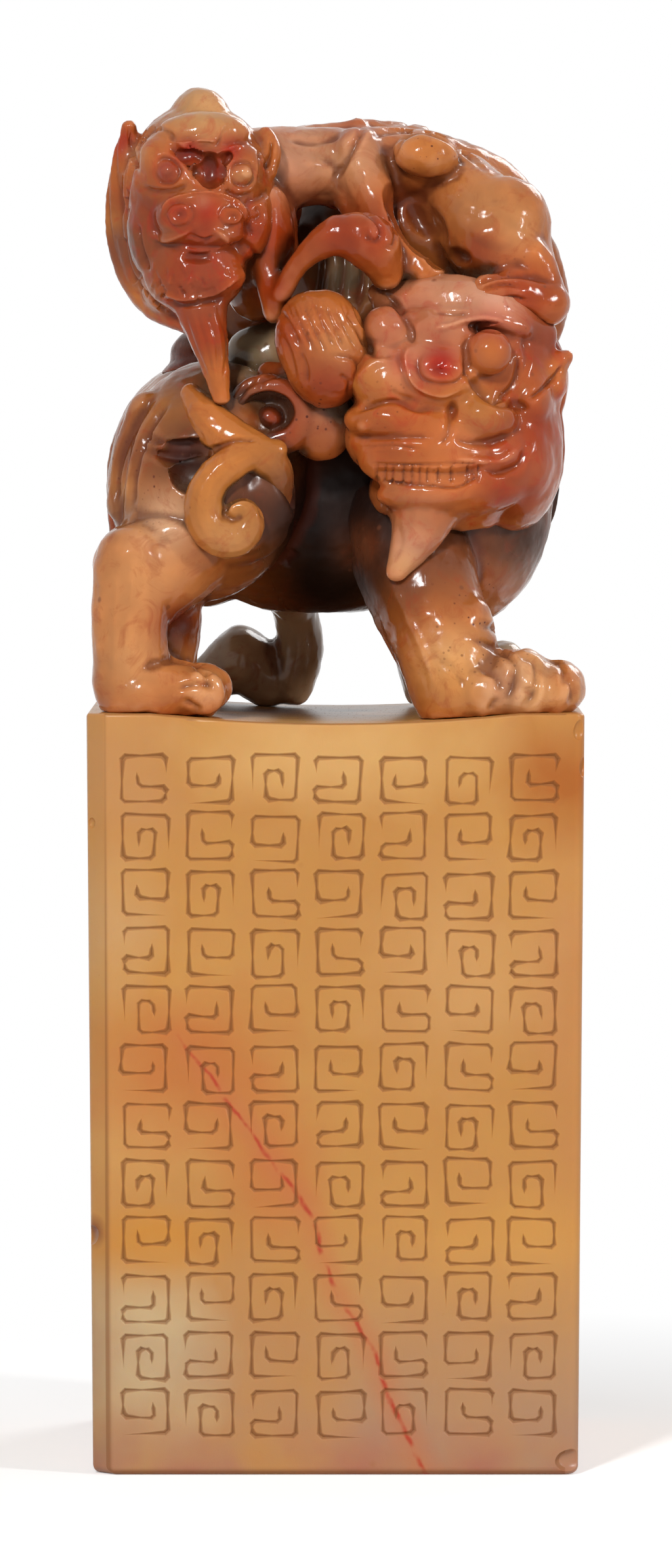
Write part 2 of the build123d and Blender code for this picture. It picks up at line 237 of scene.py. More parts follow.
class Clay:
    """A piece on the stand: its points and normals as arrays, in millimetres."""

    def __init__(self, piece):
        self.piece = piece
        self.points = self._read(piece.data.vertices, "co")
        self.normals = self._read(piece.data.vertex_normals, "vector")

    @staticmethod
    def _read(rows, field):
        values = np.empty(len(rows) * 3, np.float32)
        rows.foreach_get(field, values)
        return values.reshape(-1, 3)

    def write(self):
        """Puts the moved points back into the mesh and reads its new normals."""
        self.piece.data.vertices.foreach_set("co", self.points.ravel())
        self.piece.data.update()
        self.normals = self._read(self.piece.data.vertex_normals, "vector")

    def seen(self, view):
        """Each point as it lies in a view: its place on the picture and its nearness to the eye."""
        across, up, eye = (np.array(axis, np.float32) for axis in EYES[view])
        flat = np.stack([self.points @ across, self.points @ up], axis=1)
        if view != "top":
            flat[:, 1] -= BLOCK_TOP
        return flat, self.points @ eye, self.normals @ eye

    def cut(self, line, width, depth, view="front", edge=1.6, taper=0.18):
        """Cuts a groove along a line, or with a negative depth raises a ridge."""
        route = smooth_line(line)
        flat, near, facing = self.seen(view)
        inside = np.all((flat > route.min(0) - width) & (flat < route.max(0) + width), axis=1)
        chosen = np.flatnonzero(inside & (facing > TURNED_AWAY))
        gap, along = line_distance(flat[chosen], route)
        hit = gap < width
        chosen, gap, along = chosen[hit], gap[hit], along[hit]
        if not len(chosen):
            return
        part = np.clip((along * PARTS).astype(int), 0, PARTS - 1)
        front = np.full(PARTS, -1e9)
        np.maximum.at(front, part, near[chosen])
        shown = near[chosen] > front[part] - SKIN - width
        strength = np.clip(1 - gap / width, 0, 1)
        strength = strength**edge * (edge - (edge - 1) * strength)
        fade = np.clip(np.minimum(along, 1 - along) / taper, END_DEPTH, 1)
        push = -depth * strength * fade * shown
        self.points[chosen] += self.normals[chosen] * push[:, None].astype(np.float32)

    def cuts(self, lines, width, depth, **manner):
        """Cuts several lines with the same tool."""
        for line in lines:
            self.cut(line, width, depth, **manner)

    def dab(self, centre, radii, height, skin=1.5):
        """Raises a low round bump of clay on the front, or with a negative height presses a hollow."""
        flat, near, facing = self.seen("front")
        offset = (flat - np.array(centre, np.float32)) / np.array(radii, np.float32)
        reach = offset[:, 0] ** 2 + offset[:, 1] ** 2
        chosen = np.flatnonzero((reach < 1) & (facing > TURNED_AWAY))
        if not len(chosen):
            return
        shown = near[chosen] > near[chosen].max() - skin - abs(height)
        push = height * (1 - reach[chosen]) ** 2 * shown
        self.points[chosen] += self.normals[chosen] * push[:, None].astype(np.float32)


def smooth_line(line, steps=6):
    """A smooth curve through the points of a line."""
    points = np.array(line, float)
    padded = np.vstack([2 * points[0] - points[1], points, 2 * points[-1] - points[-2]])
    route = []
    for before, start, end, after in zip(padded, padded[1:], padded[2:], padded[3:]):
        bend = 2 * before - 5 * start + 4 * end - after
        twist = 3 * start - before - 3 * end + after
        for step in range(steps):
            t = step / steps
            route.append(0.5 * (2 * start + (end - before) * t + bend * t**2 + twist * t**3))
    return np.array(route + [points[-1]])


def line_distance(flat, route):
    """How far each point is from a route, and how far along the route it lies, from 0 to 1."""
    best = np.full(len(flat), 1e9)
    along = np.zeros(len(flat))
    spans = len(route) - 1
    for number, (start, end) in enumerate(zip(route, route[1:])):
        run = end - start
        t = np.clip((flat - start) @ run / max(run @ run, 1e-9), 0, 1)
        gap = np.linalg.norm(flat - start - t[:, None] * run, axis=1)
        closer = gap < best
        best[closer] = gap[closer]
        along[closer] = (number + t[closer]) / spans
    return best, along


print("Clay tools are ready")

# %% [markdown]
# ## The camera
#
# The photograph was taken through a long lens from just above the horizon. The frame is 1024 by 2390
# pixels, and the block's middle is 753 pixels wide for 32.0 mm, which sets how far away the camera stands.

# %% The camera
PIXELS_PER_MM = 753 / 32.0
FRAME_HEIGHT = 2390 / PIXELS_PER_MM
LENS, SENSOR = 200, 36
ELEVATION = math.radians(2.7)
DISTANCE = FRAME_HEIGHT * LENS / SENSOR
TARGET = Vector((0.04, BLOCK_LOW.y, 45.05))

camera_data = bpy.data.cameras.new("camera")
camera_data.sensor_fit = "VERTICAL"
camera_data.sensor_height = SENSOR
camera_data.lens = LENS
camera_data.clip_start = 0.01
camera = bpy.data.objects.new("camera", camera_data)
bpy.context.scene.collection.objects.link(camera)
back = Vector((0, -math.cos(ELEVATION), math.sin(ELEVATION)))
camera.location = (TARGET + back * DISTANCE) * MM
camera.rotation_euler = back.to_track_quat("Z", "Y").to_euler()
bpy.context.scene.camera = camera
print("The camera is", round(DISTANCE), "mm away")

# %% [markdown]
# ## The standing lion's hindquarters
#
# Hips, thigh, hind legs and hind paws are one flowing mass. The near leg is a heavy ham that narrows to the
# shank, and the paw's toes are rolled over at the front. The casts give the masses, a few pebbles fill
# the places where muscle runs from one into the next, and a hollow is scooped out of the haunch.

# %% Hindquarters
forms = [
    *map(cast, ("adult_torso", "adult_rump", "near_thigh", "near_hind_leg", "near_hind_paw")),
    *map(cast, ("far_hind_leg", "far_hind_paw")),
    rope((-13.2, -12.9, 9.8, 2.5), (-13.4, -13.0, 5.6, 2.4), (-13.3, -13.1, 2.2, 2.5)),
    rope((-13.7, -10.0, 9.4, 1.6), (-14.0, -8.0, 6.0, 1.6), (-13.6, -6.4, 2.6, 1.4)),
    rope((-12.2, -9.0, 19.6, 1.3), (-13.6, -8.6, 16.6, 1.4), (-13.7, -9.0, 13.4, 1.3)),
    pebble(-6.8, -11.4, 12.9, (3.9, 2.5, 3.2), (0, 20, 0)),
    pebble(-4.8, -11.9, 13.9, (2.3, 1.7, 3.0)),
    pebble(-12.6, -12.2, 1.9, (3.0, 3.2, 1.9)),
    pebble(-9.3, -14.4, 1.4, (1.7, 1.1, 1.3)),
    pebble(-8.6, -12.2, 1.6, (1.9, 1.3, 1.6)),
]
hollows = [
    pebble(-10.4, -14.4, 16.9, (2.6, 2.0, 0.95), (0, -8, 0), detail=3),
    pebble(-9.4, -14.2, 15.7, (1.5, 1.7, 1.5), detail=3),
]
hindquarters = fuse("lion_hindquarters", forms, BODY_GRAIN, hollows, swell=0.2, smoothing=6)

# %% Hindquarters: the carver's marks
clay = Clay(hindquarters)
clay.cut([(-15.3, 11.9), (-13.6, 12.6), (-11.8, 12.9), (-9.6, 12.4), (-8.6, 11.4)], 0.6, 0.28)
clay.cut([(-15.1, 10.9), (-15.5, 6.8), (-15.3, 3.0)], 0.8, -0.2, edge=1.2)
clay.cuts([
    [(-12.6, 2.9), (-10.9, 3.4), (-9.2, 3.3), (-7.8, 2.5)],
    [(-9.2, 3.4), (-8.4, 2.6), (-8.2, 1.5)],
    [(-10.4, 1.6), (-9.0, 1.9), (-7.8, 1.6)],
    [(-9.9, 0.9), (-9.2, 0.5), (-8.8, 0.1)],
], width=0.42, depth=0.3)
clay.cut([(-4.1, 15.4), (-2.5, 13.4), (-2.4, 11.4), (-3.4, 9.4), (-5.0, 8.2)], 0.55, 0.42)
clay.cut([(-7.4, 10.6), (-5.6, 10.0), (-4.2, 10.8)], 0.5, 0.2)
clay.cuts([
    [(-11.6, 20.9), (-13.3, 18.4), (-14.3, 15.6), (-14.3, 12.8)],
    [(-10.6, 20.6), (-12.4, 18.0), (-13.2, 15.2), (-13.2, 13.2)],
    [(-12.7, 17.2), (-10.6, 16.6), (-8.4, 16.7)],
    [(-12.5, 17.9), (-10.5, 17.4), (-8.9, 17.5)],
], width=0.4, depth=0.42)
for lock in range(9):
    start = -13.0 + lock * 1.15
    clay.cut([(start, 20.0), (start + 0.9, 15.0), (start + 0.2, 10.0)], 0.5, 0.25, view="back")
    side = -10.0 + lock * 1.9
    clay.cut([(side, 20.0), (side - 0.6, 15.0), (side + 0.5, 9.5)], 0.5, 0.22, view="left")
clay.write()

# %% [markdown]
# ## The standing lion's forequarters
#
# Chest, neck and forelegs. A crest of hair stands up behind the head, and the cub lies on it. The near
# foreleg is a plain column with one fold of skin, and the paw ends in flat, square toes.

# %% Forequarters
forms = [
    *map(cast, ("adult_chest", "adult_neck", "near_fore_paw")),
    cast("near_foreleg", (-0.6, 0, 0)),
    cast("far_foreleg", (-3.0, 0, 0)),
    cast("far_fore_paw", (-0.6, 0, -0.6)),
    pebble(11.3, 8.6, 2.2, (1.6, 2.4, 1.8)),
    rope((3.2, -7.0, 9.6, 2.2), (3.9, -8.8, 7.7, 2.2), (6.0, -11.2, 3.9, 2.2), (7.1, -11.9, 1.4, 2.0)),
    pebble(8.0, -12.2, 5.2, (2.2, 2.4, 2.6), (0, 30, 0)),
    pebble(-4.4, -5.4, 23.1, (2.8, 2.4, 2.3)),
    pebble(12.0, -13.6, 2.0, (2.2, 2.0, 2.1)),
    pebble(14.6, -12.6, 1.6, (1.7, 2.6, 1.8)),
    pebble(11.9, -14.6, 1.2, (1.2, 1.2, 1.4)),
    pebble(14.2, -14.0, 1.2, (1.2, 1.3, 1.4)),
]
forequarters = fuse("lion_forequarters", forms, BODY_GRAIN, swell=0.2, smoothing=6)

# %% Forequarters: the carver's marks
clay = Clay(forequarters)
clay.cuts([
    [(8.6, 4.9), (10.4, 4.2), (11.6, 3.2), (11.4, 1.8), (10.9, 0.5)],
    [(11.6, 3.9), (12.9, 3.4), (13.0, 2.0), (12.7, 0.5)],
    [(13.6, 3.9), (14.7, 3.0), (14.9, 1.6)],
    [(10.6, 1.0), (10.2, 0.6), (10.1, 0.1)],
    [(12.2, 1.8), (12.6, 1.2), (12.2, 0.3)],
    [(14.9, 2.6), (15.5, 1.6), (15.3, 0.4)],
    [(9.4, 2.9), (10.4, 2.4), (10.8, 1.3)],
], width=0.42, depth=0.32)
clay.cut([(9.2, 5.8), (10.6, 5.4), (12.0, 5.6), (13.2, 4.9)], 0.5, 0.3)
clay.cut([(6.4, 3.6), (7.6, 2.8), (8.4, 1.5)], 0.45, 0.16)
clay.cut([(3.4, 9.0), (4.6, 6.4), (5.8, 3.8), (6.6, 1.4)], 0.5, -0.16)
for lock in range(8):
    side = -1.2 + lock * 1.3
    clay.cut([(side, 33.0), (side + 0.5, 29.0), (side - 0.2, 25.5)], 0.42, 0.3)
    clay.cut([(side, 33.0), (side + 0.8, 28.0), (side + 0.2, 22.0)], 0.5, 0.32, view="back")
    clay.cut([(lock * 1.2, 20.0), (0.8 + lock * 1.2, 14.0), (lock * 1.1, 8.0)], 0.5, 0.2, view="back")
    clay.cut(
        [(lock * 1.3 - 2.0, 24.0), (lock * 1.3 - 1.4, 19.0), (lock * 1.2 - 2.4, 14.0)], 0.5, 0.25, view="left"
    )
clay.write()

# %% [markdown]
# ## Mane and tail
#
# The locks of the mane sweep round the back of the neck in long, finely striped ribbons. The tail lies up
# over the rump and ends in a curl.

# %% Mane
forms = [
    cast("adult_mane", (-0.5, 0, 0)),
    rope((12.0, -7.0, 14.6, 1.4), (11.2, -6.8, 12.4, 1.3), (9.9, -7.0, 10.2, 1.2), (8.2, -7.6, 8.8, 0.8)),
    rope((12.8, -4.0, 15.0, 1.0), (11.7, -3.6, 12.4, 1.0), (10.3, -3.6, 10.0, 0.9), (8.6, -4.4, 8.6, 0.5)),
]
mane = fuse("lion_mane", forms, BODY_GRAIN, swell=0.1, smoothing=3)
clay = Clay(mane)
clay.cuts([
    [(13.9, 13.8), (13.7, 11.9), (12.4, 9.7), (10.6, 8.0)],
    [(13.1, 13.6), (12.8, 12.0), (11.6, 10.1), (9.8, 8.5)],
    [(12.2, 13.4), (11.8, 12.0), (10.8, 10.5), (9.5, 9.2)],
], width=0.4, depth=0.35)
for lock in range(16):
    side = -8.0 + lock * 1.35
    clay.cut(
        [(side, 22.0), (side + 0.6, 16.5), (side - 0.1, 11.5), (side - 0.9, 7.8)], 0.4, 0.3, view="right"
    )
    side = 0.6 + lock * 0.9
    clay.cut([(side, 22.0), (side + 1.3, 16.5), (side + 1.0, 11.5), (side + 0.2, 7.8)], 0.4, 0.3, view="back")
clay.write()

# %% Tail
forms = [
    cast("adult_tail"),
    rope(
        (-14.0, -1.5, 10.0, 1.0), (-14.3, -2.8, 14.0, 1.1), (-12.4, -3.2, 18.6, 1.1), (-9.6, -3.0, 21.2, 0.9)
    ),
    rope(
        (-13.2, -4.8, 13.4, 0.8), (-12.8, -5.6, 16.4, 1.0), (-10.6, -6.0, 18.4, 0.9), (-8.2, -6.4, 18.8, 0.6)
    ),
]
tail = fuse("lion_tail", forms, BODY_GRAIN, swell=0.1, smoothing=3)
clay = Clay(tail)
for strand in range(4):
    pull = 0.75 * strand
    clay.cut(
        [(-10.6 + pull, 22.4 - pull * 0.4), (-13.0 + pull, 19.6), (-14.5 + pull, 15.8), (-14.6 + pull, 11.0)],
        0.34,
        0.3,
    )
for strand in range(9):
    y = -4.0 + strand
    clay.cut([(y, 21.5), (y + 0.8, 17.0), (y + 1.0, 12.0), (y + 0.6, 8.4)], 0.36, 0.3, view="left")
clay.write()

# %% [markdown]
# ## Scrolls and ball
#
# A ribbon of hair runs down over the thigh as an S and rolls in on itself. Behind the shoulder a ring of
# hair lies round a small boss. The ball that the cub plays with is fluted like a tied bundle.

# %% Scrolls
forms = [
    rope(
        (-9.4, -11.2, 20.6, 0.8), (-8.6, -12.2, 19.4, 1.4), (-7.2, -12.9, 17.8, 1.5),
        (-5.2, -13.2, 17.0, 1.4), (-3.7, -12.8, 15.8, 1.15), (-3.5, -12.0, 14.2, 0.9),
        (-3.9, -11.2, 12.6, 0.6),
    ),
    rope(
        (-3.9, -13.2, 17.0, 0.8), (-5.4, -13.6, 16.9, 1.05), (-7.2, -13.9, 16.0, 1.2),
        (-8.5, -14.1, 14.6, 1.25), (-8.7, -14.1, 12.8, 1.3), (-7.9, -14.1, 11.4, 1.35),
        (-6.3, -14.1, 11.1, 1.3), (-5.4, -14.1, 12.4, 1.05), (-5.9, -14.3, 13.4, 0.8),
        (-6.5, -14.4, 13.2, 0.6),
    ),
]
haunch_scroll = fuse("haunch_ribbon", forms, HEAD_GRAIN, swell=0.08, smoothing=3, uneven=0.14)
clay = Clay(haunch_scroll)
clay.cut([(-7.3, 12.6), (-6.9, 13.6), (-5.9, 14.0), (-4.9, 13.5), (-4.7, 12.4)], 0.25, 0.3)
clay.cut([(-8.2, 17.0), (-6.6, 17.6), (-4.9, 17.7)], 0.28, 0.25)
clay.write()

forms = [
    rope(
        (-6.2, -10.2, 17.6, 1.1), (-6.7, -10.8, 19.4, 1.05), (-5.8, -11.3, 20.8, 1.0),
        (-4.0, -11.5, 21.3, 0.95), (-2.5, -11.4, 20.5, 1.0), (-2.0, -11.2, 19.0, 1.15),
        (-2.9, -11.3, 17.7, 1.15), (-4.6, -11.4, 17.4, 0.9),
    ),
    rope(
        (-4.4, -9.8, 22.0, 0.8), (-2.2, -10.4, 21.8, 1.1), (-0.4, -10.4, 20.6, 1.5), (0.1, -10.0, 18.8, 1.5)
    ),
    pebble(-1.2, -10.4, 18.9, (2.3, 1.7, 2.7), (0, -25, 0)),
    pebble(-4.3, -9.8, 19.3, (2.4, 1.3, 2.1)),
]
hollows = [pebble(-4.4, -12.7, 19.5, (1.75, 1.9, 1.35), detail=3)]
shoulder_scroll = fuse("shoulder_ring", forms, HEAD_GRAIN, hollows, swell=0.08, smoothing=4, uneven=0.14)
boss = pebble(-4.3, -11.2, 19.1, (0.95, 1.1, 0.85))
shoulder_scroll = press_on(shoulder_scroll, boss)
clay = Clay(shoulder_scroll)
clay.cut([(-6.9, 19.4), (-5.9, 21.0), (-3.6, 21.9), (-1.6, 21.2)], 0.26, 0.16)
clay.cuts([[(-6.2, 20.4), (-5.8, 21.2), (-5.0, 21.8)], [(-5.0, 20.9), (-4.6, 21.6), (-4.0, 22.0)]], 0.3, 0.15)
clay.write()

# %% Ball
ball = fuse(
    "fluted_ball",
    [cast("play_ball"), pebble(-1.0, -12.6, 24.0, (2.9, 2.5, 3.5), (0, -20, 0))],
    HEAD_GRAIN,
    swell=0.05,
    smoothing=2,
    uneven=0.12,
)
clay = Clay(ball)
for flute in range(7):
    x = -3.3 + 0.72 * flute
    clay.cut([(x - 0.3, 27.0 - abs(flute - 3) * 0.3), (x + 0.3, 25.2), (x + 1.2, 23.4)], 0.34, 0.24)
    clay.cut([(x + 0.1, 26.6), (x + 0.5, 25.6), (x + 0.9, 24.9)], 0.14, 0.14)
clay.cuts([
    [(-3.4, 24.4), (-2.9, 23.0), (-2.6, 21.6)],
    [(-2.4, 23.6), (-1.9, 22.4), (-1.9, 21.2)],
    [(-0.2, 23.2), (1.2, 22.9), (1.8, 22.0)],
    [(0.2, 22.0), (0.9, 21.4), (0.8, 20.6)],
], width=0.3, depth=0.2)
for flute in range(9):
    x = -3.2 + 0.6 * flute
    clay.cut([(x, 27.0), (x, 24.0), (x, 21.0)], 0.34, 0.26, view="back")
clay.write()

# %% [markdown]
# ## The standing lion's head
#
# A broad face: heavy brow, a round eye in a deep socket, a flared nose, two lobes of upper lip, a row of
# square teeth in a grin, and a pointed beard. The masses are cast and pressed on first, then cut.

# %% Lion's head
forms = [
    *map(cast, ("adult_head", "adult_muzzle", "adult_jaw", "adult_brow", "adult_ears", "adult_nose")),
    pebble(6.9, -12.9, 24.6, (2.2, 1.4, 1.6)),
    pebble(6.2, -13.0, 21.8, (3.6, 2.2, 2.6)),
    pebble(3.6, -12.6, 21.4, (2.9, 2.6, 2.4), (0, 20, 0)),
    pebble(4.0, -13.0, 19.0, (3.5, 2.3, 1.55), (0, 2, 0)),
    pebble(9.6, -12.7, 19.2, (2.3, 2.3, 1.75), (0, 8, 0)),
    pebble(5.9, -13.0, 16.4, (4.5, 2.1, 2.2), (0, 2, 0)),
    pebble(6.6, -12.7, 14.3, (4.0, 2.1, 1.3), (0, -3, 0)),
    pebble(10.8, -11.6, 16.4, (2.6, 2.3, 2.6)),
    pebble(12.4, -8.8, 16.6, (2.2, 4.4, 3.5)),
    pebble(12.6, -8.6, 20.2, (1.9, 4.2, 3.0)),
    pebble(3.3, -12.3, 24.8, (1.6, 1.7, 1.6)),
    rope((5.8, -11.6, 13.6, 2.5), (5.5, -12.4, 11.9, 1.9), (4.7, -12.9, 10.4, 1.3), (4.0, -13.1, 9.2, 0.75)),
    rope((12.0, -10.6, 20.6, 0.9), (13.3, -10.0, 21.3, 1.05), (14.7, -9.8, 22.9, 0.65)),
    rope((3.0, -9.6, 27.2, 0.9), (6.2, -11.0, 27.0, 1.35), (10.0, -11.6, 26.4, 1.3), (13.4, -9.4, 24.6, 1.0)),
    rope(
        (4.4, -12.4, 25.4, 0.6), (7.0, -13.3, 25.6, 0.75), (9.6, -13.2, 25.9, 0.6), (12.2, -11.8, 24.9, 0.6)
    ),
]
hollows = [
    pebble(10.1, -15.3, 23.3, (1.8, 1.7, 1.9), (0, 6, 0)),
    pebble(10.2, -14.8, 21.4, (1.3, 1.5, 0.9), detail=3),
    pebble(6.8, -16.1, 22.4, (0.8, 1.1, 0.6), detail=3),
]
lion_head = fuse("lion_head", forms, HEAD_GRAIN, hollows, swell=0.1, smoothing=7, uneven=0.16)
eye = pebble(10.0, -13.7, 23.4, (1.5, 1.5, 1.5))
lion_head = press_on(lion_head, eye)

# %% Lion's head: the carver's marks
clay = Clay(lion_head)
clay.cut(
    [(8.5, 24.2), (8.5, 22.6), (9.0, 21.3), (10.2, 20.5), (11.4, 21.0), (11.9, 22.6), (11.6, 24.1)], 0.4, 0.35
)
clay.cut([(6.3, 26.1), (7.6, 25.9), (8.7, 25.8)], 0.3, 0.25)
clay.cut([(8.6, 25.1), (9.6, 25.1), (10.9, 24.9)], 0.45, 0.6)
clay.cut([(6.2, 24.9), (7.4, 25.1), (8.6, 25.5), (9.8, 25.6), (11.3, 25.3)], 0.35, -0.28)
clay.cut([(3.0, 27.4), (4.2, 26.2), (4.9, 24.8), (4.9, 23.8)], 0.35, 0.3)
clay.cut([(1.9, 23.9), (2.6, 23.2), (3.8, 23.2)], 0.4, 0.3)
# The nose: the flared wing, and the nostril with its bead inside.
clay.cut([(4.9, 23.9), (4.6, 22.9), (4.9, 21.7), (5.7, 21.0), (7.0, 20.7), (8.6, 21.2)], 0.42, -0.4)
clay.cut(
    [(5.6, 23.6), (5.3, 22.6), (5.6, 21.7), (6.6, 21.3), (7.8, 21.4), (8.5, 22.2), (8.3, 23.3)], 0.32, 0.22
)
clay.dab((6.9, 22.4), (0.8, 0.6), 0.5, skin=2.5)
clay.cut([(1.2, 21.4), (2.4, 22.6), (3.6, 23.0)], 0.5, -0.2)
clay.cut([(3.6, 21.0), (4.0, 20.6), (5.2, 20.2)], 0.4, 0.2)
# Lips, the groove between them, the grin and its corner.
clay.cut([(1.2, 19.5), (2.2, 19.9), (3.8, 20.2), (5.2, 19.7), (6.4, 19.6)], 0.3, 0.28)
clay.cut([(7.6, 20.4), (7.5, 19.2), (7.3, 18.1), (6.6, 17.2)], 0.5, 0.3)
clay.cut([(0.9, 17.9), (2.6, 17.8), (4.6, 17.9), (6.6, 17.9)], 0.45, 0.3)
clay.cut([(7.6, 17.9), (8.8, 17.5), (10.2, 17.6), (11.6, 18.2)], 0.45, 0.3)
clay.cut([(1.6, 17.2), (3.6, 17.3), (5.6, 17.1)], 0.22, 0.18)
clay.cut([(7.4, 16.6), (9.2, 16.3), (10.9, 16.4), (11.9, 17.3)], 0.5, -0.3)
clay.cut([(9.6, 15.8), (10.8, 15.6), (12.0, 16.2), (12.4, 17.4)], 0.4, 0.35)
clay.dab((1.8, 18.6), (0.7, 0.6), 0.2)
# The teeth: a row let into the gum, with cuts between them.
clay.cut([(2.5, 15.5), (4.6, 15.5), (7.0, 15.4), (9.3, 15.6)], 0.55, 0.3, edge=1.0, taper=0.04)
clay.cut([(2.4, 16.15), (4.6, 16.1), (7.0, 16.15), (9.2, 16.2)], 0.16, 0.25, taper=0.04)
clay.cut([(3.2, 14.95), (4.9, 14.8), (6.4, 14.75), (7.9, 14.65), (9.2, 15.3)], 0.18, 0.3, taper=0.04)
tooth_edges = (2.7, 3.25, 3.75, 4.45, 5.0, 5.5, 6.0, 6.7, 7.55, 8.6, 9.3)
clay.cuts([[(x, 16.1), (x - 0.08, 14.9)] for x in tooth_edges], width=0.14, depth=0.22, taper=0.02)
# The beard's side, the jaw line, the groove under the ear and the ear's shell.
clay.cut([(4.0, 12.4), (4.2, 11.0), (3.7, 9.8)], 0.4, 0.12)
clay.cut([(9.0, 21.0), (10.4, 20.2), (11.6, 20.0), (12.8, 19.6)], 0.5, 0.35)
clay.cut([(12.4, 20.3), (13.4, 20.9), (14.4, 21.9), (14.9, 22.6)], 0.3, 0.35)
clay.cut([(12.1, 24.6), (12.5, 22.9), (12.0, 21.6)], 0.4, 0.2)
for fold in range(8):
    side = -9.0 + fold * 1.2
    clay.cut([(side, 25.5), (side + 0.5, 20.0), (side + 0.2, 14.5)], 0.45, 0.22, view="right")
clay.write()

# %% [markdown]
# ## The cub's head
#
# A pointed forehead with a frown, two round eyes in round lids, a wide nose with ringed nostrils, a rough
# chin and a long beard that comes down to the scroll. Behind the cheek hangs a smooth lock of mane.

# %% Cub's head
forms = [
    *map(cast, ("cub_head", "cub_muzzle", "cub_jaw")),
    pebble(-11.0, -12.0, 35.6, (1.9, 2.1, 2.1)),
    pebble(-6.0, -12.0, 35.2, (1.5, 1.9, 1.8)),
    pebble(-8.6, -12.2, 37.6, (3.0, 1.8, 1.4)),
    pebble(-8.4, -12.6, 33.2, (3.2, 1.8, 1.0)),
    pebble(-10.1, -13.9, 32.3, (1.3, 1.2, 1.15)),
    pebble(-6.7, -13.9, 32.2, (1.15, 1.1, 1.1)),
    pebble(-8.3, -14.4, 32.4, (1.0, 1.1, 1.1)),
    pebble(-8.6, -13.6, 31.0, (2.8, 1.6, 0.8)),
    pebble(-5.6, -11.4, 32.0, (1.6, 2.2, 2.6)),
    pebble(-12.0, -10.8, 31.4, (1.6, 2.6, 3.2)),
    pebble(-8.9, -12.6, 28.3, (3.1, 2.0, 1.5)),
    rope(
        (-9.0, -11.9, 27.5, 2.1), (-8.7, -12.2, 25.9, 1.65), (-8.1, -12.7, 23.8, 1.2),
        (-7.4, -13.0, 20.5, 0.6)
    ),
    rope(
        (-13.5, -8.6, 38.1, 0.5), (-13.7, -8.0, 35.8, 1.05), (-13.9, -7.2, 32.8, 1.35),
        (-13.6, -7.0, 30.0, 1.4), (-12.9, -7.2, 28.0, 1.25), (-11.9, -8.2, 26.6, 1.1),
        (-10.6, -9.8, 25.6, 0.8), (-9.4, -11.0, 25.0, 0.5),
    ),
    pebble(-12.3, -7.4, 31.6, (2.0, 3.0, 5.0)),
    pebble(-10.9, -9.2, 28.0, (1.9, 2.6, 2.4)),
    pebble(-10.8, -5.6, 33.2, (2.6, 2.2, 4.4)),
    rope((-4.6, -9.4, 37.6, 0.55), (-3.9, -10.4, 36.4, 0.75), (-4.4, -10.9, 35.1, 0.6)),
]
hollows = [
    pebble(-8.1, -14.6, 35.2, (0.95, 1.3, 1.25), detail=3),
    pebble(-9.3, -14.4, 36.2, (1.2, 0.9, 0.4), (0, 24, 0), detail=3),
    pebble(-7.1, -14.4, 36.1, (1.1, 0.9, 0.4), (0, -34, 0), detail=3),
    pebble(-8.7, -15.6, 29.6, (1.9, 1.5, 0.6), detail=3),
]
cub_head = fuse("cub_face", forms, HEAD_GRAIN, hollows, swell=0.08, smoothing=4, uneven=0.14)

# %% Cub's head: the carver's marks
clay = Clay(cub_head)
# The frown under the forehead's edge, and the lids round the eyes.
clay.cut([(-10.7, 36.7), (-10.0, 36.1), (-9.2, 35.2), (-9.0, 34.6)], 0.45, 0.5)
clay.cut([(-6.7, 36.4), (-7.1, 35.8), (-7.3, 35.0), (-7.2, 34.2)], 0.35, 0.4)
clay.cut([(-10.9, 36.9), (-9.6, 36.9), (-8.4, 37.15), (-7.6, 36.9)], 0.42, -0.4)
clay.cut([(-7.0, 36.5), (-6.4, 36.7), (-5.9, 36.5)], 0.3, -0.25)
clay.cut([(-7.7, 36.7), (-7.3, 37.5), (-7.0, 38.1)], 0.2, 0.12)
clay.cuts([
    [(-11.7, 35.2), (-11.3, 34.4), (-10.5, 34.4), (-10.1, 35.1), (-10.5, 35.8), (-11.3, 35.9), (-11.7, 35.2)],
    [(-6.7, 34.9), (-6.4, 34.3), (-5.6, 34.2), (-5.2, 34.9), (-5.6, 35.6), (-6.4, 35.6), (-6.7, 34.9)],
], width=0.24, depth=0.26)
clay.dab((-10.9, 35.15), (0.75, 0.7), 0.3)
clay.dab((-5.95, 34.95), (0.7, 0.65), 0.3)
clay.cut([(-12.9, 34.8), (-12.9, 36.7), (-11.9, 37.9), (-10.8, 37.6), (-10.4, 36.9)], 0.3, 0.25)
clay.cut([(-12.8, 34.2), (-11.6, 33.8), (-10.4, 33.9), (-9.4, 34.3)], 0.35, 0.3)
clay.cut([(-7.2, 34.0), (-6.4, 33.5), (-5.2, 33.7)], 0.3, 0.25)
clay.cut([(-4.9, 36.6), (-4.7, 35.4), (-4.9, 34.2)], 0.35, 0.3)
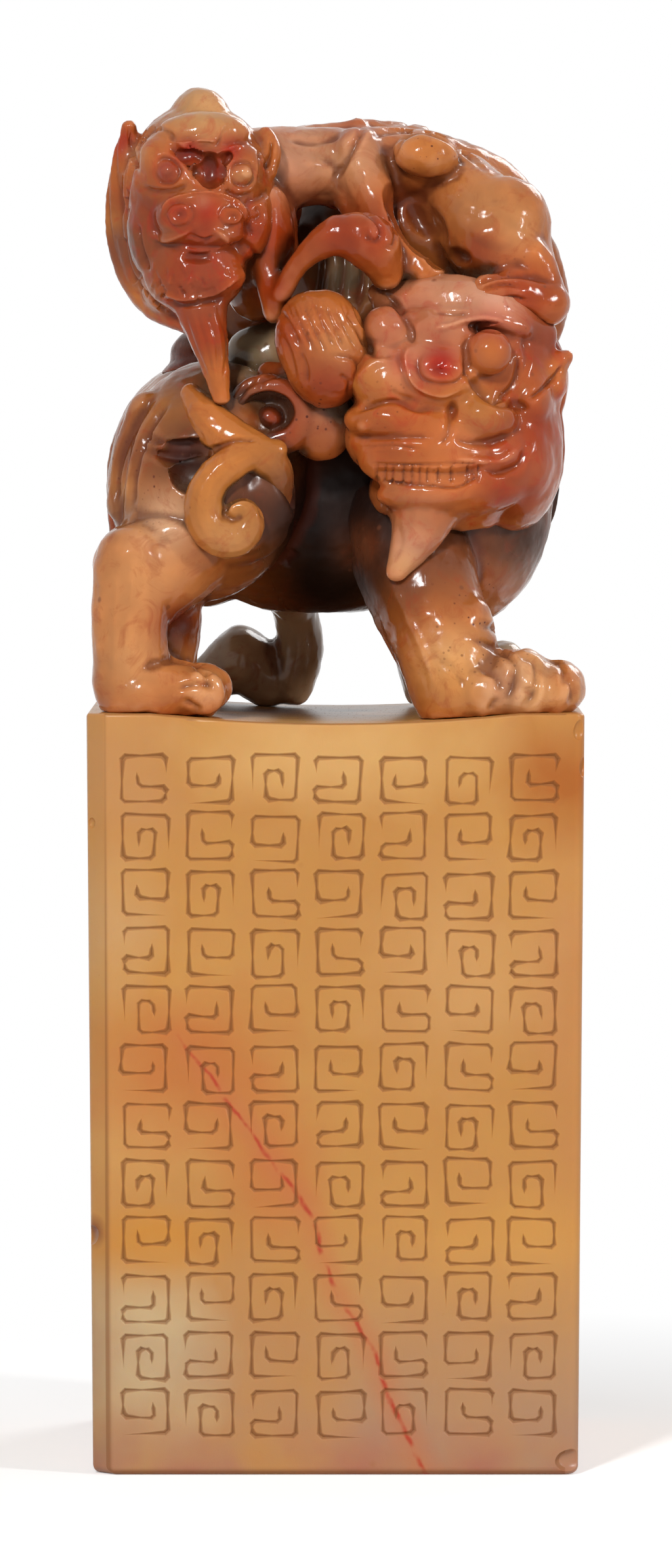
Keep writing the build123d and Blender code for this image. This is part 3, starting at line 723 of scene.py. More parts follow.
# The nose: a thin raised edge over two ringed nostrils, and the lip's pale rolls.
clay.cut(
    [(-11.3, 32.2), (-10.9, 33.0), (-9.8, 33.5), (-8.2, 33.7), (-6.9, 33.4), (-6.0, 32.7), (-5.6, 31.8)],
    0.2,
    -0.25,
)
clay.cuts([
    [(-11.1, 32.4), (-10.6, 33.0), (-9.6, 33.0), (-9.2, 32.2), (-9.6, 31.6), (-10.6, 31.5), (-11.1, 32.4)],
    [(-7.5, 32.2), (-7.1, 32.8), (-6.3, 32.8), (-5.8, 32.2), (-6.3, 31.6), (-7.1, 31.6), (-7.5, 32.2)],
], width=0.24, depth=0.16, taper=0.02)
clay.dab((-10.1, 32.3), (0.6, 0.5), -0.25)
clay.dab((-6.6, 32.2), (0.55, 0.5), -0.25)
clay.cut([(-12.0, 31.3), (-11.3, 30.7), (-10.2, 30.9), (-9.1, 31.4)], 0.35, -0.28)
clay.cut([(-8.0, 31.4), (-7.4, 31.0), (-6.8, 30.5)], 0.35, -0.3)
clay.cut([(-10.2, 30.2), (-8.8, 30.0), (-7.0, 30.2)], 0.22, -0.2)
clay.cut([(-9.4, 31.0), (-8.5, 30.6), (-7.8, 30.9)], 0.25, 0.25)
# The rough chin, with its chipped lower edge.
clay.cut([(-11.6, 27.4), (-10.0, 26.9), (-8.4, 27.1), (-7.3, 27.6), (-6.0, 28.4)], 0.26, -0.3)
clay.cut([(-11.2, 26.9), (-10.0, 26.4), (-8.4, 26.6), (-7.0, 27.0)], 0.3, 0.22)
rough = random.Random(7)
for _ in range(46):
    x, height = rough.uniform(-11.9, -6.4), rough.uniform(27.2, 29.4)
    lean = rough.uniform(-0.35, 0.35)
    clay.cut([(x, height), (x + lean, height - 0.6)], 0.16, rough.uniform(-0.1, 0.16))
# The lock behind the cheek, and the ears' shells.
clay.cuts([
    [(-12.5, 37.9), (-13.2, 35.9), (-13.7, 33.4), (-13.9, 30.8), (-13.4, 28.5), (-11.9, 26.6), (-10.4, 25.6)],
    [(-12.9, 31.8), (-12.7, 30.3), (-12.1, 28.5)],
    [(-13.4, 37.9), (-13.3, 36.4), (-12.9, 35.2)],
], width=0.3, depth=0.36)
clay.cut([(-4.1, 37.4), (-4.3, 36.2), (-4.5, 35.2)], 0.25, 0.4)
# Knife facets on the near cheek.
clay.cuts([
    [(-5.9, 33.1), (-5.0, 33.4), (-4.4, 33.9)],
    [(-5.2, 32.9), (-4.8, 32.3), (-5.4, 31.9)],
    [(-5.9, 32.2), (-5.6, 31.3), (-5.3, 30.9)],
    [(-6.0, 30.6), (-5.2, 29.6), (-5.0, 28.6)],
], width=0.4, depth=0.25)
for strand in range(4):
    x = -9.9 + strand * 0.75
    clay.cut([(x, 26.2), (x + 0.7, 24.0), (-8.1 + strand * 0.25, 21.4)], 0.26, 0.1)
for strand in range(9):
    x = -13.2 + strand * 1.05
    clay.cut([(x * 0.7 - 2.4, 39.4), (x, 35.0), (x + 0.2, 29.5)], 0.45, 0.28, view="back")
    side = -10.5 + strand * 0.9
    clay.cut([(side * 0.5 - 4.0, 38.6), (side, 34.0), (side - 0.3, 28.5)], 0.35, 0.22, view="left")
clay.write()

# %% [markdown]
# ## The cub's body
#
# The cub is stretched from its head at the left to its haunch at the right, and its hind foot rests on the
# big lion's brow. One foreleg is bent in a thin arch. The body's top carries a ridge in two waves.

# %% Cub's body
forms = [
    *map(cast, ("cub_torso", "cub_spine", "cub_chest", "cub_foreleg", "cub_haunch", "cub_hip_knob")),
    *map(cast, ("cub_hind_paw", "cub_far_foreleg", "cub_tail")),
    cast("cub_far_haunch", (-1.2, 0, -0.6)),
    pebble(-4.3, -9.6, 31.4, (1.6, 2.6, 3.2), (0, -4, 0)),
    rope((-4.6, -10.6, 30.0, 1.0), (-4.3, -11.2, 28.0, 0.9), (-3.9, -11.6, 26.0, 0.8)),
    pebble(10.9, -7.4, 31.6, (3.2, 3.2, 3.4), (0, 30, 0)),
    pebble(5.9, -8.2, 36.3, (2.2, 1.7, 1.5), (0, 8, 0)),
    rope((1.4, -6.6, 36.4, 1.8), (2.4, -8.0, 33.4, 1.45), (3.9, -9.6, 30.8, 1.4), (5.9, -10.4, 28.6, 1.3)),
    pebble(6.2, -5.4, 31.0, (3.2, 1.6, 3.8), (0, -30, 0)),
    rope((-5.4, -4.6, 37.0, 1.1), (-2.4, -3.8, 37.3, 1.0), (0.0, -3.2, 37.7, 0.9), (1.4, -3.0, 38.1, 0.8)),
    rope((2.3, -2.6, 37.3, 1.0), (5.6, -1.6, 37.7, 1.0), (7.8, -0.8, 36.5, 0.9), (9.2, -0.6, 34.9, 0.8)),
    rope(
        (-3.5, -12.2, 27.2, 0.65), (-2.7, -12.4, 28.9, 0.7), (-1.4, -12.5, 30.3, 0.95),
        (0.2, -12.5, 31.0, 1.35)
    ),
    rope((0.0, -12.4, 30.9, 1.3), (1.5, -12.5, 31.0, 1.85), (2.7, -12.4, 30.2, 2.0), (3.3, -11.7, 28.6, 1.2)),
    rope((14.0, -9.8, 26.6, 1.3), (12.0, -11.3, 27.5, 1.3), (9.8, -12.2, 27.6, 0.9)),
    rope((12.6, -9.4, 29.6, 1.5), (13.6, -9.6, 28.2, 1.5), (14.0, -9.4, 26.4, 1.2)),
]
hollows = [
    pebble(5.3, -10.6, 32.3, (1.6, 4.2, 3.3), (0, -32, 0), detail=3),
    pebble(7.4, -11.0, 29.6, (1.5, 2.6, 0.9), (0, 10, 0), detail=3),
]
cub_body = fuse("cub_body", forms, BODY_GRAIN * 0.85, hollows, swell=0.1, smoothing=5)

# %% Cub's body: the carver's marks
clay = Clay(cub_body)
clay.cut([(1.9, 38.3), (1.4, 37.2), (0.6, 35.8), (-0.1, 34.6)], 0.4, 0.4)
clay.cut([(-3.2, 37.4), (-1.4, 37.1), (0.4, 37.6)], 0.35, 0.25)
clay.cut([(2.3, 37.4), (3.4, 37.9), (5.4, 38.0), (8.0, 37.0), (10.2, 34.9)], 0.35, 0.3)
clay.cut([(3.6, 35.6), (4.4, 37.4), (6.2, 37.9), (8.0, 36.8), (8.4, 35.4)], 0.3, 0.25)
clay.cut([(-2.2, 36.4), (-0.6, 35.9), (0.2, 35.2)], 0.5, 0.16)
# The rolled knuckle of the arch.
clay.cut([(1.3, 32.9), (2.6, 32.0), (3.0, 31.2), (2.7, 30.6), (2.1, 30.8), (2.1, 31.4)], 0.24, 0.32)
clay.cut([(3.4, 32.3), (3.9, 31.4), (3.8, 30.4), (3.2, 30.2)], 0.22, 0.22)
# The hind foot's toes.
clay.cuts([
    [(8.9, 27.7), (10.4, 28.3), (12.2, 28.4), (14.2, 27.9)],
    [(9.3, 27.3), (10.8, 27.8), (12.2, 27.7)],
    [(10.4, 26.6), (11.5, 26.9), (12.6, 26.7)],
], width=0.28, depth=0.3)
# Muscle on the haunch.
clay.cut([(8.0, 34.6), (9.6, 33.4), (11.4, 33.4)], 0.8, 0.16)
clay.cut([(8.4, 31.0), (10.2, 30.0), (12.0, 30.2)], 0.8, 0.14)
clay.dab((9.4, 32.2), (1.6, 1.0), -0.2)
for rib in range(9):
    x = -3.0 + rib * 1.5
    clay.cut([(x, 37.2), (x + 0.6, 34.8), (x + 0.4, 32.0)], 0.5, 0.28, view="back")
    clay.cut([(x, -2.0), (x + 0.5, 0.5), (x + 0.2, 2.6)], 0.5, 0.25, view="top")
clay.write()

# %% [markdown]
# ## The block
#
# The block keeps the CAD node's planes. Its edges are worn round and chipped here and there, and the front
# face carries columns of a hand-cut key fret. A fret is one line that turns corners, drawn out with a
# knife's three-cornered section and taken out of the stone, so the cuts are real and catch the light.

# %% The block's body
block = cast("seal_block")
block.name = "seal_block_stone"
only(block)
bpy.ops.object.mode_set(mode="EDIT")
bpy.ops.mesh.select_all(action="SELECT")
bpy.ops.mesh.dissolve_limited(angle_limit=math.radians(1))
bpy.ops.object.mode_set(mode="OBJECT")
modify(block, "BEVEL", width=0.22, segments=3, limit_method="ANGLE", angle_limit=math.radians(35))
print("The block has", len(block.data.polygons), "faces before it is cut")

# %% The fret's ways
COLUMNS, ROWS = 7, 12
COLUMN_PITCH, ROW_PITCH = 4.2, 3.75
COLUMN_SHIFT, TOP_ROW = 0.25, 47.2
FRET_SIZE = 2.9
CUT_WIDTH, CUT_SLOPE, CORNER = 0.16, 0.9, 0.22
FRET_WAYS = (
    (
        (-0.5, 0.1), (-0.5, 0.5), (0.5, 0.5), (0.5, -0.5), (-0.5, -0.5), (-0.5, -0.16), (0.14, -0.16),
        (0.14, 0.2)
    ),
    (
        (0.5, -0.3), (0.5, 0.5), (-0.5, 0.5), (-0.5, -0.5), (0.18, -0.5), (0.18, 0.16), (-0.18, 0.16),
        (-0.18, -0.2)
    ),
    ((-0.5, -0.5), (0.5, -0.5), (0.5, 0.5), (-0.5, 0.5), (-0.5, -0.14), (0.18, -0.14), (0.18, 0.2)),
)
hand = random.Random(21)


def hand_cut(way, centre, mirror):
    """The route of one fret on the face and its width at each point, with the shake of a hand."""
    shake = FRET_SIZE * 0.035
    corners = [
        centre
        + Vector((mirror * across, up)) * FRET_SIZE
        + Vector((hand.uniform(-shake, shake), hand.uniform(-shake, shake)))
        for across, up in way
    ]
    route, widths = [corners[0]], [0.0]
    for before, corner, after in zip(corners, corners[1:], corners[2:]):
        press = hand.uniform(0.95, 1.5)
        route += [
            corner.lerp(before, 0.45),
            corner + (before - corner).normalized() * CORNER,
            corner + (after - corner).normalized() * CORNER,
        ]
        widths += [hand.uniform(0.55, 0.85), press, press]
    route += [corners[-2].lerp(corners[-1], 0.6), corners[-1]]
    widths += [hand.uniform(0.9, 1.3), 0.0]
    return route, [width * CUT_WIDTH for width in widths]


# %% [markdown]
# The front face is taken out and filled again round the cuts. A cut is a trough with two slopes that meet in
# a line, and it starts and ends in a point, as the corner of a knife leaves it.

# %% The cuts on the front face
stone = bmesh.new()
stone.from_mesh(block.data)
front = max(stone.faces, key=lambda face: -face.normal.y * face.calc_area())
lowest = min(front.verts, key=lambda corner: corner.co.z).co.copy()
highest = max(front.verts, key=lambda corner: corner.co.z).co.copy()
SLANT = (highest.y - lowest.y) / (highest.z - lowest.z)
cells = [front]
for number in range(COLUMNS + ROWS + 2):
    # The face is divided first, so that each fret has a cell of its own.
    if number <= COLUMNS:
        where, along = ((number - COLUMNS / 2) * COLUMN_PITCH + COLUMN_SHIFT, 0, 0), (1, 0, 0)
    else:
        where, along = (0, 0, TOP_ROW - (number - COLUMNS - 1) * ROW_PITCH), (0, 0, 1)
    parts = {part for cell in cells for part in (cell, *cell.edges, *cell.verts)}
    divided = bmesh.ops.bisect_plane(stone, geom=list(parts), dist=1e-4, plane_co=where, plane_no=along)
    cells = [part for part in divided["geom"] if isinstance(part, bmesh.types.BMFace)]


def on_front(flat, depth=0.0):
    """A new point of the stone on the front face, or behind it."""
    y = lowest.y + SLANT * (flat.y - lowest.z) + depth
    return stone.verts.new((flat.x, y, flat.y))


def knife_cut(route, widths):
    """Makes the two slopes of a cut and returns the edges of its outline."""
    left, right, bottom = [], [], []
    for before, point, after, width in zip(route, route[1:], route[2:], widths[1:]):
        come, go = (point - before).normalized(), (after - point).normalized()
        across = (come + go).orthogonal().normalized()
        reach = across * width / max(across.dot(go.orthogonal()), 0.6)
        left.append(on_front(point + reach))
        right.append(on_front(point - reach))
        bottom.append(on_front(point, width * CUT_SLOPE))
    start, end = on_front(route[0]), on_front(route[-1])
    bottom = [start, *bottom, end]
    outline = []
    for side in ([start, *left, end], [start, *right, end]):
        for first, second, low_first, low_second in zip(side, side[1:], bottom, bottom[1:]):
            stone.faces.new(dict.fromkeys((first, second, low_second, low_first)))
            outline.append(stone.edges.get((first, second)))
    return outline


for column in range(COLUMNS):
    for row in range(ROWS):
        middle_x = (column - (COLUMNS - 1) / 2) * COLUMN_PITCH + COLUMN_SHIFT
        centre = Vector((middle_x, TOP_ROW - (row + 0.5) * ROW_PITCH))
        cell = min(cells, key=lambda face: (face.calc_center_median().xz - centre).length)
        cells.remove(cell)
        rim = list(cell.edges)
        bmesh.ops.delete(stone, geom=[cell], context="FACES_ONLY")
        centre += Vector((hand.uniform(-0.1, 0.1), hand.uniform(-0.14, 0.14)))
        way = FRET_WAYS[(column * 2 + row) % len(FRET_WAYS)]
        rim += knife_cut(*hand_cut(way, centre, 1 if (column + row) % 2 else -1))
        bmesh.ops.triangle_fill(stone, use_beauty=True, edges=rim, normal=(0, -1, 0))
bmesh.ops.recalc_face_normals(stone, faces=stone.faces)
stone.to_mesh(block.data)
stone.free()
print(COLUMNS * ROWS, "frets are cut; the block has", len(block.data.polygons), "faces")

# %% Chips in the block's edges
def chip(x, y, z, radii, turn=(0, 0, 0)):
    """Breaks a flake off the block: a rough pebble taken away from it."""
    flake = pebble(x, y, z - BLOCK_TOP, radii, turn, detail=3)
    roughen(flake, unevenness, 0.5)
    modify(block, "BOOLEAN", object=flake, operation="DIFFERENCE", solver="MANIFOLD")
    bpy.data.objects.remove(flake)


chip(15.9, -16.2, 48.6, (0.5, 0.35, 0.8), (0, 20, 0))
chip(16.2, -15.9, 46.2, (0.3, 0.4, 0.7))
chip(15.6, -15.9, 1.0, (1.3, 0.5, 0.7), (0, -10, 0))
chip(15.9, -15.8, 3.2, (0.35, 0.4, 0.5))
chip(-15.9, -14.9, 15.6, (0.5, 0.9, 0.7), (0, 0, 20))
chip(-15.9, -15.4, 42.4, (0.3, 0.5, 0.4))
chip(-9.4, -16.35, 49.3, (0.8, 0.3, 0.3))
print("The block now has", len(block.data.polygons), "faces")

# %% [markdown]
# ## Stone
#
# The knop is one stone with many moods. Its colour is laid on the points of the clay as soft spots, mostly
# patches of the stone's own bedding, from honey and rose to crimson, brown and nearly black. The nearly black
# spots in the gaps and hollows are painted shade, a pale spot on the cub's nose tip is a painted highlight,
# the far side is browner, partly its own tone and partly painted shade, and its legs are painted lighter
# against their shadow. The shader then adds clouds, veins and specks between the points. Dust sits where a
# lot of other surface stands close in front of a point, and painted shade darkens those recesses too;
# painted shade also darkens the creases and cuts, and what hands touch is pale and polished.

# %% Finding the recesses
# The grid: its cells in millimetres, its first corner and its size in cells.
CELL = 0.5
GRID_LOW = np.array((-20.0, -20.0, BLOCK_TOP - 6))
GRID_SHAPE = (80, 80, 100)
RELAX_ROUNDS = 40
# Crowding is felt near and far: the brush in cells, a step off the skin in millimetres, the crowding of a
# free point and what a deeply sunk one has more.
REACHES = ((1.6, 1.0, 0.055, 0.06), (3.6, 2.6, 0.022, 0.026))


def ramp(values, start, length):
    """Grows from 0 at the start to 1 at the end of a length."""
    return np.clip((values - start) / length, 0, 1)


def blur(field, sigma):
    """Spreads a field with a round brush, one axis after another."""
    reach = int(3 * sigma)
    weights = np.exp(-0.5 * (np.arange(-reach, reach + 1) / sigma) ** 2)
    weights /= weights.sum()
    for axis in range(3):
        field = np.apply_along_axis(lambda row: np.convolve(row, weights, mode="same"), axis, field)
    return field


def crowding(pieces, sigma):
    """How much surface there is round each place of the grid."""
    field = np.zeros(GRID_SHAPE)
    for piece in pieces:
        faces = piece.data.polygons
        centres, areas = np.empty(len(faces) * 3, np.float32), np.empty(len(faces), np.float32)
        faces.foreach_get("center", centres)
        faces.foreach_get("area", areas)
        cells = ((centres.reshape(-1, 3) - GRID_LOW) / CELL).astype(int)
        fits = np.all((cells >= 0) & (cells < GRID_SHAPE), axis=1)
        np.add.at(field, tuple(cells[fits].T), areas[fits])
    return blur(field, sigma)


def sample(field, points):
    """Reads the field at points, between its cells."""
    place = np.clip((points - GRID_LOW) / CELL - 0.5, 0, np.array(GRID_SHAPE) - 2)
    low = place.astype(int)
    part = place - low
    value = np.zeros(len(points))
    for corner in np.ndindex(2, 2, 2):
        share = np.prod(np.where(corner, part, 1 - part), axis=1)
        value += share * field[tuple((low + corner).T)]
    return value


def relax(mesh, values, rounds):
    """Averages values over neighbouring points, as many times as asked."""
    edges = np.empty(len(mesh.edges) * 2, np.int32)
    mesh.edges.foreach_get("vertices", edges)
    first, second = edges.reshape(-1, 2).T
    count = len(mesh.vertices)
    links = np.bincount(edges, minlength=count).clip(1)
    values = values.reshape(count, -1).astype(float)
    for _ in range(rounds):
        totals = [
            np.bincount(first, column[second], count) + np.bincount(second, column[first], count)
            for column in values.T
        ]
        values = 0.5 * values + 0.5 * np.stack(totals, axis=1) / links[:, None]
    return values


def store(piece, name, values):
    """Keeps one number for each point of the piece, for the material to read."""
    attribute = piece.data.attributes.new(name, "FLOAT", "POINT")
    attribute.data.foreach_set("value", np.clip(values, 0, 1).astype(np.float32).ravel())


knop = [
    hindquarters, forequarters, mane, tail, haunch_scroll, shoulder_scroll, ball, lion_head, cub_head,
    cub_body
]
crowds = [crowding(knop + [block], brush) for brush, *_ in REACHES]
for piece in knop:
    clay = Clay(piece)
    recess = np.zeros(len(clay.points))
    for crowd, (_, step, free, more) in zip(crowds, REACHES):
        recess += ramp(sample(crowd, clay.points + clay.normals * step), free, more) * 0.5
    store(piece, "recess", relax(piece.data, recess, 4))
    smooth = relax(piece.data, clay.points, RELAX_ROUNDS)
    hollow = np.einsum("ij,ij->i", smooth - clay.points, clay.normals)
    store(piece, "crease", relax(piece.data, ramp(hollow, 0.02, 0.1), 1))
    store(piece, "crown", relax(piece.data, ramp(-hollow, 0.05, 0.12), 1))
print("Recesses are found on", len(knop), "pieces")

# %% [markdown]
# ## The stone's own colours
#
# A soft spot has a place in the front view, a radius, a colour and a strength. Spots are laid one over the
# other, as thin washes of paint would be, so the later ones cover the earlier ones.

# %% Colours of the stone
HONEY, AMBER, GOLD = (0.60, 0.30, 0.115), (0.43, 0.115, 0.022), (0.50, 0.19, 0.038)
ROSE, RUSSET, CRIMSON = (0.42, 0.12, 0.055), (0.29, 0.036, 0.006), (0.37, 0.012, 0.004)
PEACH, BROWN = (0.54, 0.24, 0.13), (0.15, 0.045, 0.018)
# The first of these is the near black of the dark stone, and also the painted shade laid in gaps and hollows.
UMBER_AND_SHADE, OLIVE, MOSS = (0.014, 0.004, 0.002), (0.12, 0.075, 0.042), (0.42, 0.30, 0.17)
PALE_HAM, PALE_BROW, PALE_NOSE = (0.70, 0.38, 0.20), (0.66, 0.36, 0.24), (0.70, 0.33, 0.17)
FAR_BROWN_AND_SHADE, FAR_LEGS_PAINTED_LIGHT = np.array((0.17, 0.09, 0.045)), np.array((0.50, 0.31, 0.17))
# The far side starts at this y. It is brownest under the belly's height, partly its own tone and partly
# painted shade, and its legs are painted pale as painted light against the body's shadow.
FAR_START, BELLY_HEIGHT, LEG_HEIGHT = -1, 27, 9
# Each spot: x and height in millimetres, radius, colour and strength.
FRONT_WASHES = (
    # The near-black spots here sit in the carving's gaps and hollows, as on the chest and belly under the
    # head and in the window behind the cub, and are painted shade.
    # The standing lion, from hind to fore.
    (-9.0, 17.0, 6.5, BROWN, 0.45), (-13.4, 16.6, 2.6, BROWN, 0.5), (-13.8, 14.6, 1.2, GOLD, 0.7),
    (-11.0, 20.4, 2.0, GOLD, 0.5), (-9.6, 22.2, 2.2, BROWN, 0.8), (-11.4, 14.2, 2.4, AMBER, 0.8),
    (-14.6, 13.0, 1.5, BROWN, 0.6), (-12.6, 8.0, 4.6, HONEY, 0.5), (-12.0, 2.2, 4.2, AMBER, 0.7),
    (-13.2, 3.4, 2.8, HONEY, 0.5), (-10.8, 12.6, 1.9, PALE_HAM, 0.95), (-8.4, 1.9, 1.6, HONEY, 0.4),
    (-7.2, 10.2, 2.0, AMBER, 0.6), (-10.2, 5.8, 1.5, RUSSET, 0.9), (-9.9, 5.4, 1.1, UMBER_AND_SHADE, 0.6),
    (-9.9, 16.6, 1.9, UMBER_AND_SHADE, 0.9), (-4.8, 13.4, 2.2, BROWN, 0.9), (-3.6, 13.4, 2.6, BROWN, 0.95),
    (-3.0, 12.4, 1.6, UMBER_AND_SHADE, 0.5), (1.2, 12.4, 5.0, UMBER_AND_SHADE, 1.25), (-0.4, 8.6, 5.0, UMBER_AND_SHADE, 0.95),
    (0.4, 17.4, 2.6, UMBER_AND_SHADE, 0.9), (1.6, 10.6, 1.4, BROWN, 0.7), (12.4, 11.0, 4.4, UMBER_AND_SHADE, 0.85),
    (8.2, 10.2, 2.9, BROWN, 0.95), (9.4, 5.8, 3.2, AMBER, 0.9), (10.6, 7.2, 1.4, ROSE, 0.5),
    (13.0, 1.8, 4.6, HONEY, 0.7), (10.8, 1.9, 1.6, PEACH, 0.6), (7.4, 3.4, 2.0, HONEY, 0.9),
    (5.0, 8.9, 1.2, BROWN, 0.7), (15.0, 2.4, 1.4, AMBER, 0.5), (11.4, 4.8, 0.8, RUSSET, 0.9),
    (7.4, 1.8, 2.2, GOLD, 0.6),
    # Behind, seen through the gaps.
    (-5.6, 24.0, 2.6, MOSS, 1.0), (0.6, 28.4, 3.0, OLIVE, 0.9), (-1.4, 33.0, 2.2, UMBER_AND_SHADE, 0.9),
)
SCROLL_WASHES = (
    (-6.5, 14.5, 9.0, GOLD, 0.6), (-8.0, 19.0, 3.0, AMBER, 0.4), (-6.8, 11.4, 2.0, HONEY, 0.4),
    (-6.2, 13.0, 1.0, GOLD, 0.5), (-3.0, 14.4, 2.4, BROWN, 0.75),
)
SHOULDER_WASHES = (
    (-3.6, 19.4, 6.0, RUSSET, 0.75), (-5.6, 20.8, 1.6, BROWN, 0.6), (0.2, 20.2, 2.2, PEACH, 0.7),
    # The near-black spot in the ring's hollow round the boss is painted shade.
    (-1.8, 21.4, 1.4, CRIMSON, 0.3), (-1.0, 17.0, 2.0, AMBER, 0.5), (-3.8, 19.3, 1.3, UMBER_AND_SHADE, 0.5),
    (-4.0, 18.7, 0.9, RUSSET, 0.8),
)
BALL_WASHES = (
    (-0.6, 20.9, 2.4, RUSSET, 0.7), (-3.2, 24.6, 1.8, RUSSET, 0.75), (-0.4, 21.6, 1.4, RUSSET, 0.6),
    (1.0, 21.4, 2.0, RUSSET, 0.4), (0.2, 24.0, 1.6, HONEY, 0.3),
)
LION_FACE_WASHES = (
    (7.0, 26.8, 3.8, PEACH, 0.75), (5.0, 25.4, 2.0, ROSE, 0.8), (11.6, 26.0, 3.0, ROSE, 0.7),
    (13.6, 23.8, 2.4, RUSSET, 0.95), (13.4, 24.4, 1.6, BROWN, 0.4), (9.6, 26.8, 1.9, PEACH, 0.8),
    (10.4, 27.0, 1.4, PALE_BROW, 0.5), (4.4, 22.4, 1.6, PEACH, 0.6), (3.2, 24.8, 1.8, ROSE, 0.6),
    (9.8, 25.0, 1.5, CRIMSON, 0.6), (10.3, 21.2, 1.3, RUSSET, 0.9), (10.0, 23.6, 1.2, AMBER, 0.7),
    (6.2, 24.2, 1.6, ROSE, 0.5), (4.3, 22.4, 1.3, PALE_NOSE, 0.9), (4.6, 22.4, 1.1, CRIMSON, 0.45),
    (5.4, 20.6, 1.1, CRIMSON, 0.35), (6.9, 22.4, 1.0, CRIMSON, 0.85), (2.2, 21.2, 1.6, GOLD, 0.5),
    (3.6, 19.0, 3.0, AMBER, 0.7), (9.6, 19.2, 2.2, GOLD, 0.75), (4.0, 17.0, 3.4, RUSSET, 0.5),
    (8.6, 17.0, 2.2, ROSE, 0.5), (12.6, 16.2, 2.8, ROSE, 0.65), (13.2, 18.4, 2.8, RUSSET, 0.85),
    (10.8, 14.6, 2.2, RUSSET, 0.8), (12.4, 14.2, 1.8, RUSSET, 0.6), (6.4, 15.4, 2.8, AMBER, 0.6),
    (6.0, 13.4, 2.0, ROSE, 0.4), (4.8, 10.4, 2.2, PEACH, 0.8), (4.4, 9.6, 0.9, HONEY, 0.5),
    (14.5, 22.2, 1.0, AMBER, 0.7), (6.7, 22.8, 1.1, CRIMSON, 0.7), (4.2, 22.9, 0.9, CRIMSON, 0.45),
)
CUB_FACE_WASHES = (
    # The near-black spots in the frown, under the forehead's edge, are painted shade.
    (-8.8, 39.4, 2.8, HONEY, 0.85), (-9.2, 36.2, 0.9, UMBER_AND_SHADE, 0.4), (-8.4, 37.7, 1.7, HONEY, 0.4),
    (-11.4, 35.8, 1.9, AMBER, 0.5), (-13.8, 37.0, 1.1, CRIMSON, 0.75), (-13.0, 36.4, 0.7, HONEY, 0.5),
    (-9.5, 36.3, 1.2, CRIMSON, 0.85), (-6.8, 36.5, 1.1, CRIMSON, 0.8), (-8.0, 35.1, 1.1, RUSSET, 0.9),
    (-8.0, 35.2, 0.8, CRIMSON, 0.5), (-8.2, 35.8, 0.8, UMBER_AND_SHADE, 0.55), (-10.9, 35.1, 0.9, CRIMSON, 0.8),
    (-10.8, 35.0, 0.6, BROWN, 0.6), (-5.8, 34.9, 1.4, RUSSET, 0.5), (-5.9, 34.9, 0.8, HONEY, 0.45),
    # The small pale PEACH spot on the nose's tip is a painted highlight.
    (-10.1, 32.5, 0.9, CRIMSON, 0.7), (-8.3, 32.5, 1.1, CRIMSON, 0.75), (-8.6, 33.1, 0.5, PEACH, 0.4),
    (-8.6, 30.9, 1.7, CRIMSON, 0.5), (-11.4, 31.1, 0.8, HONEY, 0.5), (-7.2, 31.0, 0.6, HONEY, 0.6),
    (-12.8, 32.0, 1.9, RUSSET, 1.1), (-5.2, 31.4, 2.0, RUSSET, 0.9), (-8.8, 28.4, 3.4, RUSSET, 0.95),
    (-8.6, 29.4, 1.3, CRIMSON, 0.4), (-8.6, 26.2, 2.4, RUSSET, 0.95), (-8.6, 26.4, 1.8, BROWN, 0.5),
    (-8.4, 29.4, 1.3, BROWN, 0.5), (-8.4, 24.4, 1.6, RUSSET, 0.7), (-7.8, 21.6, 1.3, AMBER, 0.7),
    (-14.2, 31.0, 1.9, AMBER, 0.8), (-14.2, 30.6, 2.2, RUSSET, 0.4), (-13.9, 30.4, 2.4, BROWN, 0.75),
    (-14.9, 32.0, 0.9, GOLD, 0.4), (-12.8, 26.4, 1.4, GOLD, 0.4),
)
CUB_WASHES = (
    # The near-black spot in the cavity of the cub's belly is painted shade.
    (-2.6, 36.6, 3.4, PEACH, 0.9), (1.4, 36.4, 2.2, PEACH, 0.8), (4.6, 32.0, 1.7, UMBER_AND_SHADE, 0.35),
    (1.0, 38.0, 1.3, RUSSET, 0.6), (0.6, 35.6, 2.0, HONEY, 0.35), (-4.0, 31.0, 2.6, RUSSET, 0.95),
    (-4.2, 27.6, 1.8, RUSSET, 0.9), (0.4, 31.0, 2.6, RUSSET, 0.9), (3.0, 30.4, 1.9, RUSSET, 0.8),
    (3.2, 31.2, 0.9, CRIMSON, 0.5), (5.8, 36.4, 2.2, GOLD, 0.35), (4.6, 32.8, 2.0, RUSSET, 0.6),
    (5.0, 30.4, 1.8, AMBER, 0.6), (9.6, 33.4, 3.2, HONEY, 0.35), (12.2, 30.8, 1.8, HONEY, 0.7),
    (9.4, 30.0, 1.6, RUSSET, 0.6), (12.4, 27.4, 3.0, RUSSET, 0.85), (13.6, 30.4, 1.8, AMBER, 0.5),
)
MANE_WASHES = ((13.0, 11.0, 3.0, BROWN, 0.3), (14.4, 19.0, 1.6, BROWN, 0.9))
TAIL_WASHES = (
    (-13.9, 15.0, 1.4, GOLD, 0.8), (-14.6, 13.0, 1.6, RUSSET, 0.6), (-10.6, 22.6, 1.6, RUSSET, 0.8),
)
# Where dark grains are thick: x, height, radius and strength.
SPECK_SPOTS = (
    (9.8, 6.0, 3.6, 1.0), (-1.4, 19.4, 2.6, 1.0), (-11.4, 14.6, 2.2, 0.9), (6.6, 36.4, 1.8, 1.0),
    (12.4, 27.4, 2.2, 0.7), (3.4, 20.0, 1.6, 0.7), (-13.8, 16.0, 1.6, 0.8),
)


def spread(points, centre, radius):
    """How near each point is to a spot of the front view, from 0 to 1."""
    flat = points[:, (0, 2)] - np.array((0, BLOCK_TOP), np.float32)
    return np.exp(-((np.linalg.norm(flat - np.array(centre), axis=1) / radius) ** 2))


